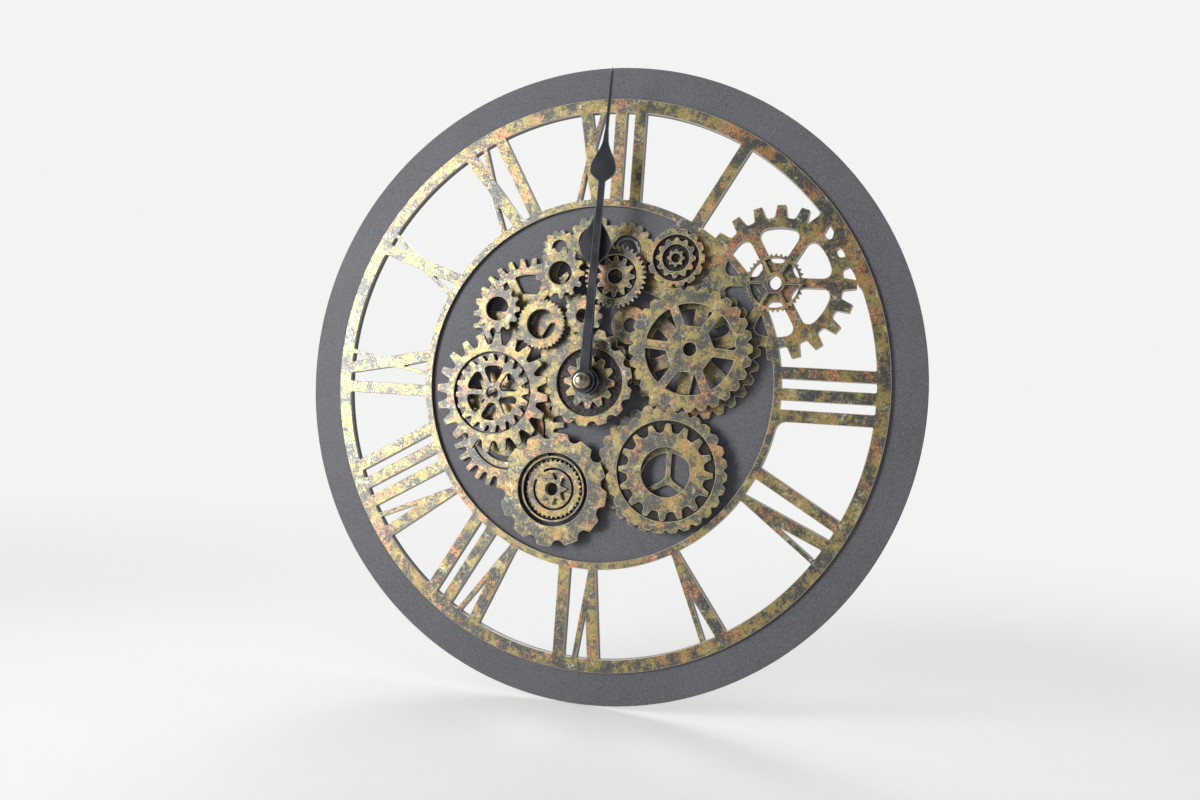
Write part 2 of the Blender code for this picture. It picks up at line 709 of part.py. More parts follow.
def spade_hand(length, spade_base, widest, half_width, neck, needle, root_half, hub_r):
    """Right-hand half of a spade hand from its hub to its tip, as (half width, height)."""
    start = math.sqrt(hub_r * hub_r - root_half * root_half)
    shoulder = widest + 0.62 * (neck - widest)
    return [(root_half, start),
            (0.72 * root_half, spade_base),
            (0.62 * half_width, spade_base + 0.18 * (widest - spade_base)),
            (0.93 * half_width, spade_base + 0.58 * (widest - spade_base)),
            (half_width, widest),
            (0.82 * half_width, widest + 0.28 * (shoulder - widest)),
            (0.42 * half_width, shoulder),
            (1.6 * needle, neck),
            (needle, neck + 0.12 * (length - neck)),
            (0.8 * needle, length - 3.0),
            (0.0, length)]


def hand(name, side, hub_r, hole_r, front, lean):
    """A hand cut from sheet: round hub, stem, spade and needle."""
    outline = side + [(-x, y) for x, y in reversed(side[:-1])]
    start = math.degrees(math.atan2(side[0][1], side[0][0]))
    outline += arc(hub_r, 180.0 - start, 360.0 + start, 14)[1:-1]
    obj = plate(name, [outline, circle(hole_r, 16)], front, "satin_black", (0.0, 0.0), HAND_SHEET)
    obj.rotation_euler.rotate_axis("Z", math.radians(lean))
    return obj


def hands():
    side = spade_hand(HOUR_HAND_LENGTH, 59.0, 69.0, 8.2, 86.0, 0.9, 2.5, HOUR_HUB_R)
    hand("hour_hand", side, HOUR_HUB_R, PIPE_R + RUNNING, HOUR_HAND_FRONT, 0.0)
    side = spade_hand(MINUTE_HAND_LENGTH, 100.0, 106.4, 6.7, 122.8, 0.85, 2.4, MINUTE_HUB_R)
    hand("minute_hand", side, MINUTE_HUB_R, ARBOR_R + RUNNING, MINUTE_HAND_FRONT, MINUTE_LEAN)


def turned(name, profile, finish, steps):
    """A piece turned about its own Z; the profile is (radius, height) in millimetres."""
    mesh = bpy.data.meshes.new(name)
    points = [(radius * MM, 0.0, height * MM) for radius, height in profile]
    mesh.from_pydata(points, [(k, k + 1) for k in range(len(points) - 1)], [])
    obj = bpy.data.objects.new(name, mesh)
    screw = obj.modifiers.new("Turn", "SCREW")
    screw.axis = "Z"
    screw.steps = steps
    screw.render_steps = steps
    screw.use_merge_vertices = True
    screw.merge_threshold = 0.00001
    return link(obj, finish)


def cap_nut():
    """The round nut that holds the minute hand: rim, side, dome and a blind bore."""
    back = MINUTE_HAND_FRONT + FIT
    side = back + 0.5 * CAP_HEIGHT
    front = back + CAP_HEIGHT
    bore = ARBOR_R + RUNNING
    dome = [(0.0, front), (0.45 * CAP_R, front - 0.2), (0.8 * CAP_R, front - 0.9),
            (0.97 * CAP_R, side + 0.3), (CAP_R, side)]
    rim = [(CAP_R, back + 0.3), (CAP_R - 0.3, back)]
    blind_bore = [(bore, back), (bore, side), (0.0, side + 0.6)]
    nut = turned("cap_nut", dome + rim + blind_bore, "pewter", 18)
    nut.rotation_euler = (math.pi / 2.0, 0.0, 0.0)


def washers_and_nut():
    washer_front = level_front(5) + FIT + WASHER
    plate("dial_washer", [circle(WASHER_R, 28), circle(BUSHING_R + FIT, 16)], washer_front,
          "dark_metal", (0.0, 0.0), WASHER)
    across = NUT_ACROSS / math.sqrt(3.0)
    plate("hex_nut", [circle(across, 6), circle(BUSHING_R + FIT, 16)],
          washer_front + FIT + NUT, "dark_metal", (0.0, 0.0), NUT)
    plate("rubber_washer", [circle(RUBBER_WASHER_R, 20), circle(BUSHING_R + FIT, 16)],
          BASE_BACK - FIT, "rubber", (0.0, 0.0), GASKET)


# Movement case

def movement_case():
    half = CASE_SIDE / 2.0
    inside = half - CASE_WALL
    back = COVER + FIT
    floor = CASE_FRONT - CASE_WALL
    case = box("movement_case", (-half, -CASE_FRONT, -half), (half, -back, half), "case_plastic")
    cavity = box("case_cavity", (-inside, -floor, -inside), (inside, 1.0, inside),
                 "case_plastic", True)
    cut(case, [cavity])
    rib_top = BATTERY_Z - BATTERY_R - FIT
    rib = box("case_rib", (-inside - 0.5, -floor - 0.5, rib_top - 1.2),
              (inside + 0.5, -back - 2.0, rib_top), "case_plastic", True)
    bushing = rod("case_bushing", BUSHING_R, (0.0, 0.0), floor + 0.5, bushing_front(),
                  "case_plastic", 16, True)
    fuse(case, [rib, bushing])
    bore = rod("bushing_bore", BUSHING_BORE, (0.0, 0.0), floor - 1.0, bushing_front() + 1.0,
               "case_plastic", 16, True)
    return tidy_flats(cut(case, [bore]))


def bushing_front():
    return level_front(5) + FIT + WASHER + FIT + NUT + BUSHING_BEYOND_NUT


def rear_cover():
    half = CASE_SIDE / 2.0
    cover = box("rear_cover", (-half, -COVER, -half), (half, 0.0, half), "case_plastic")
    bay = box("battery_window", (-half + 2.3, -COVER - 1.0, BATTERY_Z - BATTERY_R - FIT),
              (half - 2.3, 1.0, half - 1.7), "case_plastic", True)
    knob = rod("knob_hole", KNOB_R + KNOB_CLEARANCE, SETTING_AT, -1.0, COVER + 1.0,
               "case_plastic", 16, True)
    return tidy_flats(cut(cover, [bay, knob]))


def battery():
    half = BATTERY_LENGTH / 2.0
    edge = BATTERY_NUB / 2.0
    top = half - edge
    bottom = -half - edge
    profile = [(0.0, half + edge), (BATTERY_NUB_R, half + edge), (BATTERY_NUB_R, top),
               (BATTERY_R - 0.5, top), (BATTERY_R, top - 0.5),
               (BATTERY_R, bottom + 0.4), (BATTERY_R - 0.4, bottom), (0.0, bottom)]
    cell = turned("battery", profile, "battery", 16)
    cell.rotation_euler = (0.0, math.pi / 2.0, 0.0)
    cell.location = (0.0, -BATTERY_DEPTH * MM, BATTERY_Z * MM)


def battery_contacts():
    wall = CASE_SIDE / 2.0 - CASE_WALL - FIT
    end = BATTERY_LENGTH / 2.0 + BATTERY_NUB / 2.0 + FIT
    low = (-BATTERY_DEPTH - CONTACT_HALF_WIDTH, BATTERY_Z - CONTACT_HALF_HEIGHT)
    high = (-BATTERY_DEPTH + CONTACT_HALF_WIDTH, BATTERY_Z + CONTACT_HALF_HEIGHT)
    box("positive_contact", (end, low[0], low[1]), (wall, high[0], high[1]), "steel")
    box("negative_contact", (-wall, low[0], low[1]), (-end, high[0], high[1]), "steel")


def hanger():
    base = CASE_SIDE / 2.0 + FIT
    side = base + HANGER_SIDE
    top = base + HANGER_HEIGHT
    outline = [(-HANGER_HALF_WIDTH, base), (HANGER_HALF_WIDTH, base), (HANGER_HALF_WIDTH, side),
               (HANGER_TOP_HALF_WIDTH, top), (-HANGER_TOP_HALF_WIDTH, top),
               (-HANGER_HALF_WIDTH, side)]
    low = base + NAIL_HOLE_FROM
    high = base + NAIL_HOLE_TO
    hole = [(-NAIL_HOLE_HALF_WIDTH, low), (NAIL_HOLE_HALF_WIDTH, low),
            (NAIL_HOLE_TOP_HALF_WIDTH, high), (-NAIL_HOLE_TOP_HALF_WIDTH, high)]
    plate("hanger", [rounded(outline, 1.5), rounded(hole, 0.8)], HANGER_FRONT, "case_plastic",
          (0.0, 0.0), HANGER_SHEET)


# Gear train

def meshed_place(module, teeth_a, teeth_b, place_a, degrees):
    """Place of a wheel b that meshes with wheel a, in this direction from it."""
    return polar(module * (teeth_a + teeth_b) / 2.0, degrees, place_a)


HUB_AT = (0.0, 0.0)
MOTION_AT = meshed_place(MOTION_MODULE, CANNON_TEETH, MOTION_TEETH, HUB_AT, 210.0)
SETTING_AT = meshed_place(MOTION_MODULE, MOTION_TEETH, SETTING_TEETH, MOTION_AT, 280.0)
THIRD_AT = meshed_place(TRAIN_MODULE, CENTRE_TEETH, TRAIN_PINION, HUB_AT, 0.0)
SECOND_AT = meshed_place(TRAIN_MODULE, THIRD_TEETH, TRAIN_PINION, THIRD_AT, -60.0)
INTERMEDIATE_AT = meshed_place(TRAIN_MODULE, SECOND_TEETH, TRAIN_PINION, SECOND_AT, 200.0)
ROTOR_AT = meshed_place(TRAIN_MODULE, INTERMEDIATE_TEETH, TRAIN_PINION, INTERMEDIATE_AT, 270.0)

# Front depth of each row of wheels in the movement
HOUR_ROW = 14.6
MOTION_ROW = 13.0
CENTRE_ROW = 11.2
THIRD_ROW = 9.6
SECOND_ROW = 8.0
INTERMEDIATE_ROW = 6.4
TRAIN_SHEET = 1.0


def wheel_outline(teeth, module, phase):
    """Pointed teeth that stand only a little over the pitch circle, so they run freely."""
    pitch_r = module * teeth / 2.0
    root = pitch_r - 0.95 * module
    return gear(teeth, pitch_r + 0.35 * module, root, 0.0, WHOLE_PITCH, phase)


def arbor(name, centre, wheels, back, front, finish, radius=PIVOT_R, steps=8):
    """A shaft with its wheels: each wheel is (teeth, module, phase, front depth, thickness)."""
    shaft = rod(name, radius, centre, back, front, finish, steps)
    others = []
    for k, (teeth, module, phase, row, thickness) in enumerate(wheels):
        outline = wheel_outline(teeth, module, phase)
        others.append(plate(f"{name}_wheel_{k}", [outline], row, finish, centre, thickness, True))
    return fuse(shaft, others)


def gear_train():
    rear = COVER + FIT
    floor = CASE_FRONT - CASE_WALL - FIT

    cannon_phase = 0.0
    motion_phase = meshed_phase(HUB_AT, CANNON_TEETH, cannon_phase, MOTION_AT, MOTION_TEETH)
    setting_phase = meshed_phase(MOTION_AT, MOTION_TEETH, motion_phase, SETTING_AT,
                                 SETTING_TEETH)
    pinion_phase = 0.0
    hour_phase = meshed_phase(MOTION_AT, MOTION_PINION, pinion_phase, HUB_AT, HOUR_TEETH)

    minute = rod("minute_arbor", ARBOR_R, HUB_AT, MOTION_ROW - GEAR_SHEET - 0.1,
                 MINUTE_HAND_FRONT + FIT + ARBOR_IN_CAP, "brass", 12)
    cannon = plate("cannon_pinion", [wheel_outline(CANNON_TEETH, MOTION_MODULE, cannon_phase)],
                   MOTION_ROW, "brass", HUB_AT, GEAR_SHEET, True)
    fuse(minute, [cannon])

    arbor("motion_wheel", MOTION_AT,
          [(MOTION_TEETH, MOTION_MODULE, motion_phase, MOTION_ROW, GEAR_SHEET),
           (MOTION_PINION, HOUR_MODULE, pinion_phase, HOUR_ROW, HOUR_ROW - MOTION_ROW + 0.4)],
          MOTION_ROW - GEAR_SHEET - 1.0, floor, "train_plastic", 0.9, 12)

    hour = plate("hour_wheel", [wheel_outline(HOUR_TEETH, HOUR_MODULE, hour_phase)],
                 HOUR_ROW, "train_plastic", HUB_AT, GEAR_SHEET)
    pipe = rod("hour_pipe", PIPE_R, HUB_AT, HOUR_ROW - 0.6, HOUR_HAND_FRONT + PIPE_BEYOND_HAND,
               "train_plastic", 14, True)
    fuse(hour, [pipe])
    bore = rod("hour_bore", PIPE_BORE, HUB_AT, HOUR_ROW - 3.0, HOUR_HAND_FRONT + 2.0,
               "train_plastic", 14, True)
    cut(hour, [bore])

    knob = rod("setting_knob", KNOB_R, SETTING_AT, KNOB_BACK, KNOB_FRONT, "train_plastic", 16)
    stem = rod("setting_stem", 1.2, SETTING_AT, KNOB_FRONT - 0.5, MOTION_ROW + 0.1,
               "train_plastic", 12, True)
    wheel = plate("setting_gear", [wheel_outline(SETTING_TEETH, MOTION_MODULE, setting_phase)],
                  MOTION_ROW, "train_plastic", SETTING_AT, GEAR_SHEET, True)
    pivot = rod("setting_pivot", PIVOT_R, SETTING_AT, MOTION_ROW - 0.5, floor,
                "train_plastic", 10, True)
    fuse(knob, [stem, wheel, pivot])

    centre_phase = 0.0
    third_pinion = meshed_phase(HUB_AT, CENTRE_TEETH, centre_phase, THIRD_AT, TRAIN_PINION)
    third_phase = 0.0
    second_pinion = meshed_phase(THIRD_AT, THIRD_TEETH, third_phase, SECOND_AT, TRAIN_PINION)
    second_phase = 0.0
    middle_pinion = meshed_phase(SECOND_AT, SECOND_TEETH, second_phase, INTERMEDIATE_AT,
                                 TRAIN_PINION)
    middle_phase = 0.0
    rotor_pinion = meshed_phase(INTERMEDIATE_AT, INTERMEDIATE_TEETH, middle_phase, ROTOR_AT,
                                TRAIN_PINION)

    arbor("centre_wheel", HUB_AT,
          [(CENTRE_TEETH, TRAIN_MODULE, centre_phase, CENTRE_ROW, TRAIN_SHEET)],
          rear, CENTRE_ROW + 0.3, "train_plastic", 1.2, 14)
    arbor("third_wheel", THIRD_AT,
          [(THIRD_TEETH, TRAIN_MODULE, third_phase, THIRD_ROW, TRAIN_SHEET),
           (TRAIN_PINION, TRAIN_MODULE, third_pinion, CENTRE_ROW + 0.2, PINION_LENGTH)],
          rear, floor, "train_plastic")
    arbor("second_wheel", SECOND_AT,
          [(SECOND_TEETH, TRAIN_MODULE, second_phase, SECOND_ROW, TRAIN_SHEET),
           (TRAIN_PINION, TRAIN_MODULE, second_pinion, THIRD_ROW + 0.2, PINION_LENGTH)],
          rear, floor, "train_plastic")
    arbor("intermediate_wheel", INTERMEDIATE_AT,
          [(INTERMEDIATE_TEETH, TRAIN_MODULE, middle_phase, INTERMEDIATE_ROW, TRAIN_SHEET),
           (TRAIN_PINION, TRAIN_MODULE, middle_pinion, SECOND_ROW + 0.2, PINION_LENGTH)],
          rear, floor, "train_plastic")

    rotor = rod("rotor", PIVOT_R, ROTOR_AT, rear, floor, "dark_metal", 10)
    magnet = rod("rotor_magnet", ROTOR_R, ROTOR_AT, ROTOR_BACK, ROTOR_FRONT, "dark_metal", 20,
                 True)
    pinion = plate("rotor_pinion", [wheel_outline(TRAIN_PINION, TRAIN_MODULE, rotor_pinion)],
                   INTERMEDIATE_ROW + 0.2, "dark_metal", ROTOR_AT, PINION_LENGTH, True)
    fuse(rotor, [magnet, pinion])


def stator():
    outline = [(2.6, -24.6), (24.8, -24.6), (24.8, -1.2), (19.4, -1.2), (19.4, -13.6),
               (2.6, -13.6)]
    hole = circle(ROTOR_R + STATOR_CLEARANCE, 24, ROTOR_AT)
    plate("stator", [rounded(outline, 1.0), hole], STATOR_FRONT, "steel", HUB_AT, STATOR)


def coil():
    """A wound bobbin: a thinner winding between two flanges, on an upright core."""
    profile = [(0.0, 0.0), (1.6, 0.0), (1.7, -1.4), (1.7, -2.2), (1.45, -2.2), (1.45, -11.4),
               (1.7, -11.4), (1.7, -12.2), (0.0, -12.2)]
    wound = turned("coil", profile, "copper", 12)
    wound.location = (COIL_AT[0] * MM, COIL_AT[1] * MM, COIL_TOP * MM)


def circuit_board():
    inside = CASE_SIDE / 2.0 - CASE_WALL - FIT
    back = -BOARD_BACK
    board = box("circuit_board", (-inside, back - BOARD, -24.0), (-17.0, back, 8.0), "board")
    crystal = box("crystal_can", (-24.5, back - 0.3, -18.0), (-22.5, back + 2.0, -10.5), "board",
                  True)
    chip = box("driver_chip", (-24.6, back - 0.3, -6.0), (-19.0, back + 1.2, -0.5), "board", True)
    fuse(board, [crystal, chip])


def main():
    global PARTS, CUTTERS
    clear_scene()
    PARTS = new_collection("acrylic_wall_clock")
    CUTTERS = new_collection("cutters")
    base_plate()
    dial_overlay()
    flush_gears()
    raised_gears()
    spoked_gears()
    spacers()
    hands()
    cap_nut()
    washers_and_nut()
    movement_case()
    rear_cover()
    battery()
    battery_contacts()
    hanger()
    gear_train()
    stator()
    coil()
    circuit_board()


main()
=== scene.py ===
"""Looks of a round wall clock cut from acrylic sheet.

An open dial with roman numerals, raised ornamental gears on black spacers, spade hands and a
quartz movement behind. Sizes are in millimetres until a piece is placed, and then in metres:
+Z up, the front facing -Y, the hands' axis along Y through the origin.
"""

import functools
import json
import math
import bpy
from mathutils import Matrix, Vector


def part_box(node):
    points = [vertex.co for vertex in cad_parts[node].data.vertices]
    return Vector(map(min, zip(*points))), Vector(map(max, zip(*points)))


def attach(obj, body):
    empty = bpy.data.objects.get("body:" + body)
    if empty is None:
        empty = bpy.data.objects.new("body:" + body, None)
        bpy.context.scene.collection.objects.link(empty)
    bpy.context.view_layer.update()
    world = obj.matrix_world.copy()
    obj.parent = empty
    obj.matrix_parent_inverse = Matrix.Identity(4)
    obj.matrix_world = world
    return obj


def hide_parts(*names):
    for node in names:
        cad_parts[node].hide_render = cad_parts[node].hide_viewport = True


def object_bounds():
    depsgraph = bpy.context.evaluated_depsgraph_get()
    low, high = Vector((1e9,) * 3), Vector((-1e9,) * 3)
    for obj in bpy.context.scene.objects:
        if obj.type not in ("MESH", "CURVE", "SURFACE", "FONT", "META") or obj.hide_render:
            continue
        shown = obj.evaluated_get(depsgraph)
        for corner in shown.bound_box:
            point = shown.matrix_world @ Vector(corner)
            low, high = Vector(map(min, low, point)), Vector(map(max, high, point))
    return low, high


bl_info = {
    "name": "Acrylic gear clock",
    "version": (1, 0, 0),
    "blender": (4, 5, 0),
    "location": "View3D > Sidebar > Clock",
    "description": "Fine pieces, finishes and stage of a layered acrylic wall clock",
    "category": "Object",
}

import bmesh
import bpy
from mathutils import Matrix, Vector
from mathutils.geometry import interpolate_bezier

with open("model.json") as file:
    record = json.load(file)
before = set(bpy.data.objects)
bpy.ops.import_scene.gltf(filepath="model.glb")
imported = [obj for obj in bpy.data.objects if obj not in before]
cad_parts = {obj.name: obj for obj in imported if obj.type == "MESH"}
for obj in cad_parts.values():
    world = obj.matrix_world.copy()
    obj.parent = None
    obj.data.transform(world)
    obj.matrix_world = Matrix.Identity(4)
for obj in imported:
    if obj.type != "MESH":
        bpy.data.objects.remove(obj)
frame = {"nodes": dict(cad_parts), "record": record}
CAD_BOX = [list(corner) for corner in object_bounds()]

MM = 0.001
STAND_UP = Matrix.Rotation(math.pi / 2.0, 4, "X")


# Settings

def length(name, description, default_mm):
    return bpy.props.FloatProperty(name=name, description=description, default=default_mm * MM,
                                   min=0.0, unit="LENGTH", precision=5)


def colour(name, description, red, green, blue):
    return bpy.props.FloatVectorProperty(name=name, description=description, subtype="COLOR",
                                         size=3, min=0.0, max=1.0, default=(red, green, blue))


class ClockSizes(bpy.types.PropertyGroup):
    """Sizes that finish the cut edges and corners."""

    rim: length("Sheet rim", "Width of the chamfer round the front of each cut sheet", 0.28)
    base_rim: length("Base rim", "Width of the rounded edge of the base plate", 0.25)
    window_corner: length("Window corner", "Rounding of the corners beside the numerals", 0.8)
    tooth_corner: length("Tooth corner", "Rounding of the corners of the gear teeth", 0.4)
    hand_rim: length("Hand rim", "Width of the chamfer round the hands", 0.25)
    train_rim: length("Wheel rim", "Rounding of the small wheels inside the movement", 0.06)


class ClockColours(bpy.types.PropertyGroup):
    """Colours of the finishes."""

    olive: colour("Olive gold", "Main colour of the antique film", 0.27, 0.212, 0.048)
    cream: colour("Cream gold", "Light areas of the antique film", 0.62, 0.54, 0.35)
    grey: colour("Slate grey", "Cloudy grey areas of the antique film", 0.040, 0.045, 0.044)
    rust: colour("Rust", "Orange spots of the antique film", 0.64, 0.25, 0.080)
    brown: colour("Brown", "Darker parts of the rust", 0.27, 0.12, 0.055)
    soot: colour("Soot", "Dark speckle of the antique film", 0.010, 0.011, 0.011)
    # Painted highlight: the chamfer round the front of each cut sheet gets this bright colour in
    # place of the light that the edge catches
    painted_edge_highlight: colour("Painted edge highlight", "Bright line round the front of each cut sheet",
                      0.44, 0.38, 0.26)
    cut_edge: colour("Cut edge", "Laser-cut edge of the sheet", 0.018, 0.013, 0.009)
    charcoal: colour("Charcoal", "Front of the base plate", 0.072, 0.072, 0.084)
    hand: colour("Hand black", "Paint of the hands", 0.016, 0.017, 0.021)
    pewter: colour("Pewter", "Worn metal of the cap nut", 0.34, 0.285, 0.215)
    dark_metal: colour("Dark metal", "Nut and washer under the hands", 0.17, 0.165, 0.155)
    moulding: colour("Moulding black", "Movement case", 0.016, 0.016, 0.017)
    natural: colour("Natural plastic", "Wheels and setting knob", 0.72, 0.70, 0.64)


def power(name, description, watts):
    return bpy.props.FloatProperty(name=name, description=description, default=watts, min=0.0,
                                   unit="POWER")


class ClockStage(bpy.types.PropertyGroup):
    """Floor, light and camera."""

    floor: colour("Floor", "Colour of the floor", 0.80, 0.80, 0.79)
    background: colour("Background", "Colour of the plain background", 0.90, 0.90, 0.89)
    key_power: power("Key light", "Power of the light at the left", 2.75)
    fill_power: power("Fill light", "Power of the lights at the right and above", 1.7)
    back_power: power("Back light", "Power of the light behind", 2.0)
    lens: bpy.props.FloatProperty(name="Lens", description="Focal length for a 36 mm wide sensor",
                                  default=32.27, min=1.0, unit="CAMERA")


def sizes():
    return bpy.context.scene.clock_sizes


def colours():
    return bpy.context.scene.clock_colours


# Finishes

# Facing of a flat front, and of the chamfer round it: the Y part of the normal
FRONT_FACING = -0.92
CHAMFER_FACING = -0.35


def shade(tint, factor):
    """A colour made darker or lighter."""
    return [min(1.0, factor * part) for part in tint]


class Mixer:
    """A node tree being wired, with a short call for each kind of node it uses."""

    def __init__(self, tree):
        self.tree = tree
        coords = tree.nodes.new("ShaderNodeTexCoord")
        self.place = coords.outputs["Object"]
        self.normal = coords.outputs["Normal"]
        self.direction = coords.outputs["Generated"]

    def put(self, value, socket):
        """Sets a socket from a number, a colour or another socket."""
        if isinstance(value, bpy.types.NodeSocket):
            self.tree.links.new(value, socket)
        elif socket.type == "RGBA":
            socket.default_value = (*value[:3], 1.0)
        else:
            socket.default_value = value

    def node(self, kind, output, inputs, **settings):
        """Adds a node and gives one of its outputs."""
        made = self.tree.nodes.new("ShaderNode" + kind)
        for name, value in settings.items():
            setattr(made, name, value)
        for name, value in inputs.items():
            self.put(value, made.inputs[name])
        return made.outputs[output]

    def noise(self, scale, detail=4.0, roughness=0.6, distortion=0.0, shift=0.0,
              stretch=(1.0, 1.0, 1.0)):
        moved = self.node("Mapping", "Vector", {
            "Vector": self.place, "Location": (shift, 0.7 * shift, -0.4 * shift),
            "Scale": stretch})
        return self.node("TexNoise", "Fac", {"Vector": moved, "Scale": scale, "Detail": detail,
                                             "Roughness": roughness, "Distortion": distortion})

    def band(self, value, low, high, to_low=0.0, to_high=1.0, ease="SMOOTHSTEP"):
        """Brings a value between two limits to a range of its own."""
        return self.node("MapRange", "Result", {
            "Value": value, "From Min": low, "From Max": high, "To Min": to_low,
            "To Max": to_high}, interpolation_type=ease)

    def maths(self, operation, first, second=0.5):
        return self.node("Math", "Value", {0: first, 1: second}, operation=operation)

    def mix(self, factor, first, second):
        return self.node("Mix", 2, {0: factor, 6: first, 7: second}, data_type="RGBA")

    def blend(self, factor, first, second, output):
        """Shows a blend of two shaders at an output node."""
        mixed = self.node("MixShader", "Shader", {"Fac": factor, 1: first, 2: second})
        self.put(mixed, self.tree.nodes[output].inputs["Surface"])

    def axis(self, vector, name):
        return self.node("SeparateXYZ", name, {"Vector": vector})

    def rays(self):
        """One for camera rays, and one for camera, glossy and transmission rays."""
        path = self.tree.nodes.new("ShaderNodeLightPath").outputs
        shiny = self.maths("MAXIMUM", path["Is Glossy Ray"], path["Is Transmission Ray"])
        return path["Is Camera Ray"], self.maths("MAXIMUM", path["Is Camera Ray"], shiny)


class Recipe(Mixer):
    """A material being mixed round its shader."""

    def __init__(self, name):
        self.material = bpy.data.materials.new(name)
        self.material.use_nodes = True
        super().__init__(self.material.node_tree)
        self.shader = self.tree.nodes["Principled BSDF"]

    def front(self):
        """One on flat faces that look to the front, zero on cut edges and backs."""
        return self.maths("LESS_THAN", self.axis(self.normal, "Y"), FRONT_FACING)

    def chamfer(self):
        """One on faces that lean forward between the front and the cut edges."""
        lean = self.axis(self.normal, "Y")
        return self.maths("MULTIPLY", self.maths("GREATER_THAN", lean, FRONT_FACING),
                          self.maths("LESS_THAN", lean, CHAMFER_FACING))

    def bump(self, height, strength, depth_mm):
        raised = self.node("Bump", "Normal", {"Strength": strength, "Distance": depth_mm * MM,
                                              "Height": height})
        self.put(raised, self.shader.inputs["Normal"])

    def finish(self, **sockets):
        """Sets the shader's sockets by name, with _ for a space."""
        for name, value in sockets.items():
            self.put(value, self.shader.inputs[name.replace("_", " ")])
        return self.material


def antique_gold():
    """Aged metallic film: olive and grey clouds, pale flecks, rust and dark speckle."""
    mixed = Recipe("antique_gold")
    tint = colours()
    clouds = mixed.noise(110.0, 10.0, 0.77, 0.2)
    pale = mixed.noise(200.0, 9.0, 0.80, 0.2, 1.3)
    rusts = mixed.noise(85.0, 11.0, 0.80, 0.2, 2.9)
    fine = mixed.noise(900.0, 5.0, 0.78, 0.2, 4.1)
    flecks = mixed.noise(1400.0, 3.0, 0.7, 0.1, 6.3)
    film = mixed.mix(mixed.band(clouds, 0.46, 0.56), tint.grey, tint.olive)
    film = mixed.mix(mixed.band(pale, 0.53, 0.66, 0.0, 0.8), film, tint.cream)
    rust = mixed.mix(mixed.band(flecks, 0.42, 0.60), tint.brown, tint.rust)
    film = mixed.mix(mixed.band(rusts, 0.515, 0.605, 0.0, 0.9), film, rust)
    film = mixed.mix(mixed.band(flecks, 0.56, 0.68, 0.0, 0.5), film, tint.cream)
    soot = mixed.maths("MULTIPLY", mixed.band(fine, 0.49, 0.58),
                       mixed.band(clouds, 0.44, 0.62, 1.0, 0.45))
    film = mixed.mix(soot, film, tint.soot)
    face = mixed.front()
    # Painted highlight on the chamfer round the front; the dark laser-cut colour on the cut walls
    edge = mixed.mix(mixed.chamfer(), tint.cut_edge, tint.painted_edge_highlight)
    shine = mixed.band(fine, 0.35, 0.65, 0.32, 0.50)
    leaf = mixed.maths("MULTIPLY", mixed.band(fine, 0.45, 0.60, 0.75, 0.30), face)
    mixed.bump(mixed.maths("ADD", fine, pale), 0.35, 0.08)
    return mixed.finish(
        Base_Color=mixed.mix(face, edge, film),
        Roughness=mixed.mix(face, (0.30, 0.30, 0.30), shine),
        Metallic=leaf,
        Specular_IOR_Level=1.0,
        Coat_Weight=0.45,
        Coat_Roughness=0.29)


def charcoal():
    """Fine powdery grain on the front, plain cut acrylic on edges and back."""
    mixed = Recipe("charcoal_acrylic")
    tint = colours().charcoal
    grain = mixed.noise(2300.0, 3.0, 0.75)
    broad = mixed.noise(26.0, 5.0, 0.6, 0.2, 3.0)
    light = shade(tint, 1.7)
    powder = mixed.mix(mixed.band(grain, 0.36, 0.66), shade(tint, 0.45), light)
    powder = mixed.mix(mixed.band(broad, 0.35, 0.75, 0.0, 0.22), powder, light)
    face = mixed.front()
    mixed.bump(grain, 0.5, 0.09)
    return mixed.finish(Base_Color=mixed.mix(face, (0.030, 0.030, 0.033), powder),
                        Roughness=mixed.band(face, 0.0, 1.0, 0.28, 0.62))


def black_acrylic():
    """Gloss black sheet with faint laser striations down its cut walls."""
    mixed = Recipe("black_acrylic")
    streaks = mixed.noise(900.0, 3.0, 0.6, stretch=(1.0, 0.02, 1.0))
    mixed.bump(streaks, 0.25, 0.05)
    tone = mixed.mix(mixed.band(streaks, 0.4, 0.7), colours().cut_edge, (0.020, 0.018, 0.016))
    return mixed.finish(Base_Color=tone, Roughness=mixed.band(streaks, 0.3, 0.7, 0.16, 0.30))


def satin_black():
    """Stoved black paint with fine dust in it."""
    mixed = Recipe("satin_black")
    dust = mixed.noise(2600.0, 3.0, 0.6)
    smears = mixed.noise(90.0, 5.0, 0.6, 0.4, 1.0)
    tint = colours().hand
    tone = mixed.mix(mixed.band(dust, 0.45, 0.72), tint, shade(tint, 1.7))
    # Painted highlight: the chamfer round each hand is made seven times lighter than the paint
    tone = mixed.mix(mixed.chamfer(), tone, shade(tint, 7.0))
    mixed.bump(dust, 0.15, 0.03)
    return mixed.finish(Base_Color=tone, Roughness=mixed.band(smears, 0.3, 0.7, 0.17, 0.27),
                        Metallic=0.25)


def worn_metal(name, tint, scratch_scale, rough_low, rough_high):
    """Metal with cloudy tarnish and fine scratches."""
    mixed = Recipe(name)
    cloud = mixed.noise(260.0, 6.0, 0.65, 0.3)
    scratches = mixed.noise(scratch_scale, 4.0, 0.7, 0.0, 2.0, (1.0, 1.0, 0.12))
    tone = mixed.mix(mixed.band(cloud, 0.35, 0.7), shade(tint, 0.6), tint)
    tone = mixed.mix(mixed.band(scratches, 0.58, 0.72, 0.0, 0.5), tone, shade(tint, 1.8))
    mixed.bump(scratches, 0.2, 0.03)
    return mixed.finish(Base_Color=tone, Metallic=0.95,
                        Roughness=mixed.band(cloud, 0.3, 0.7, rough_low, rough_high))


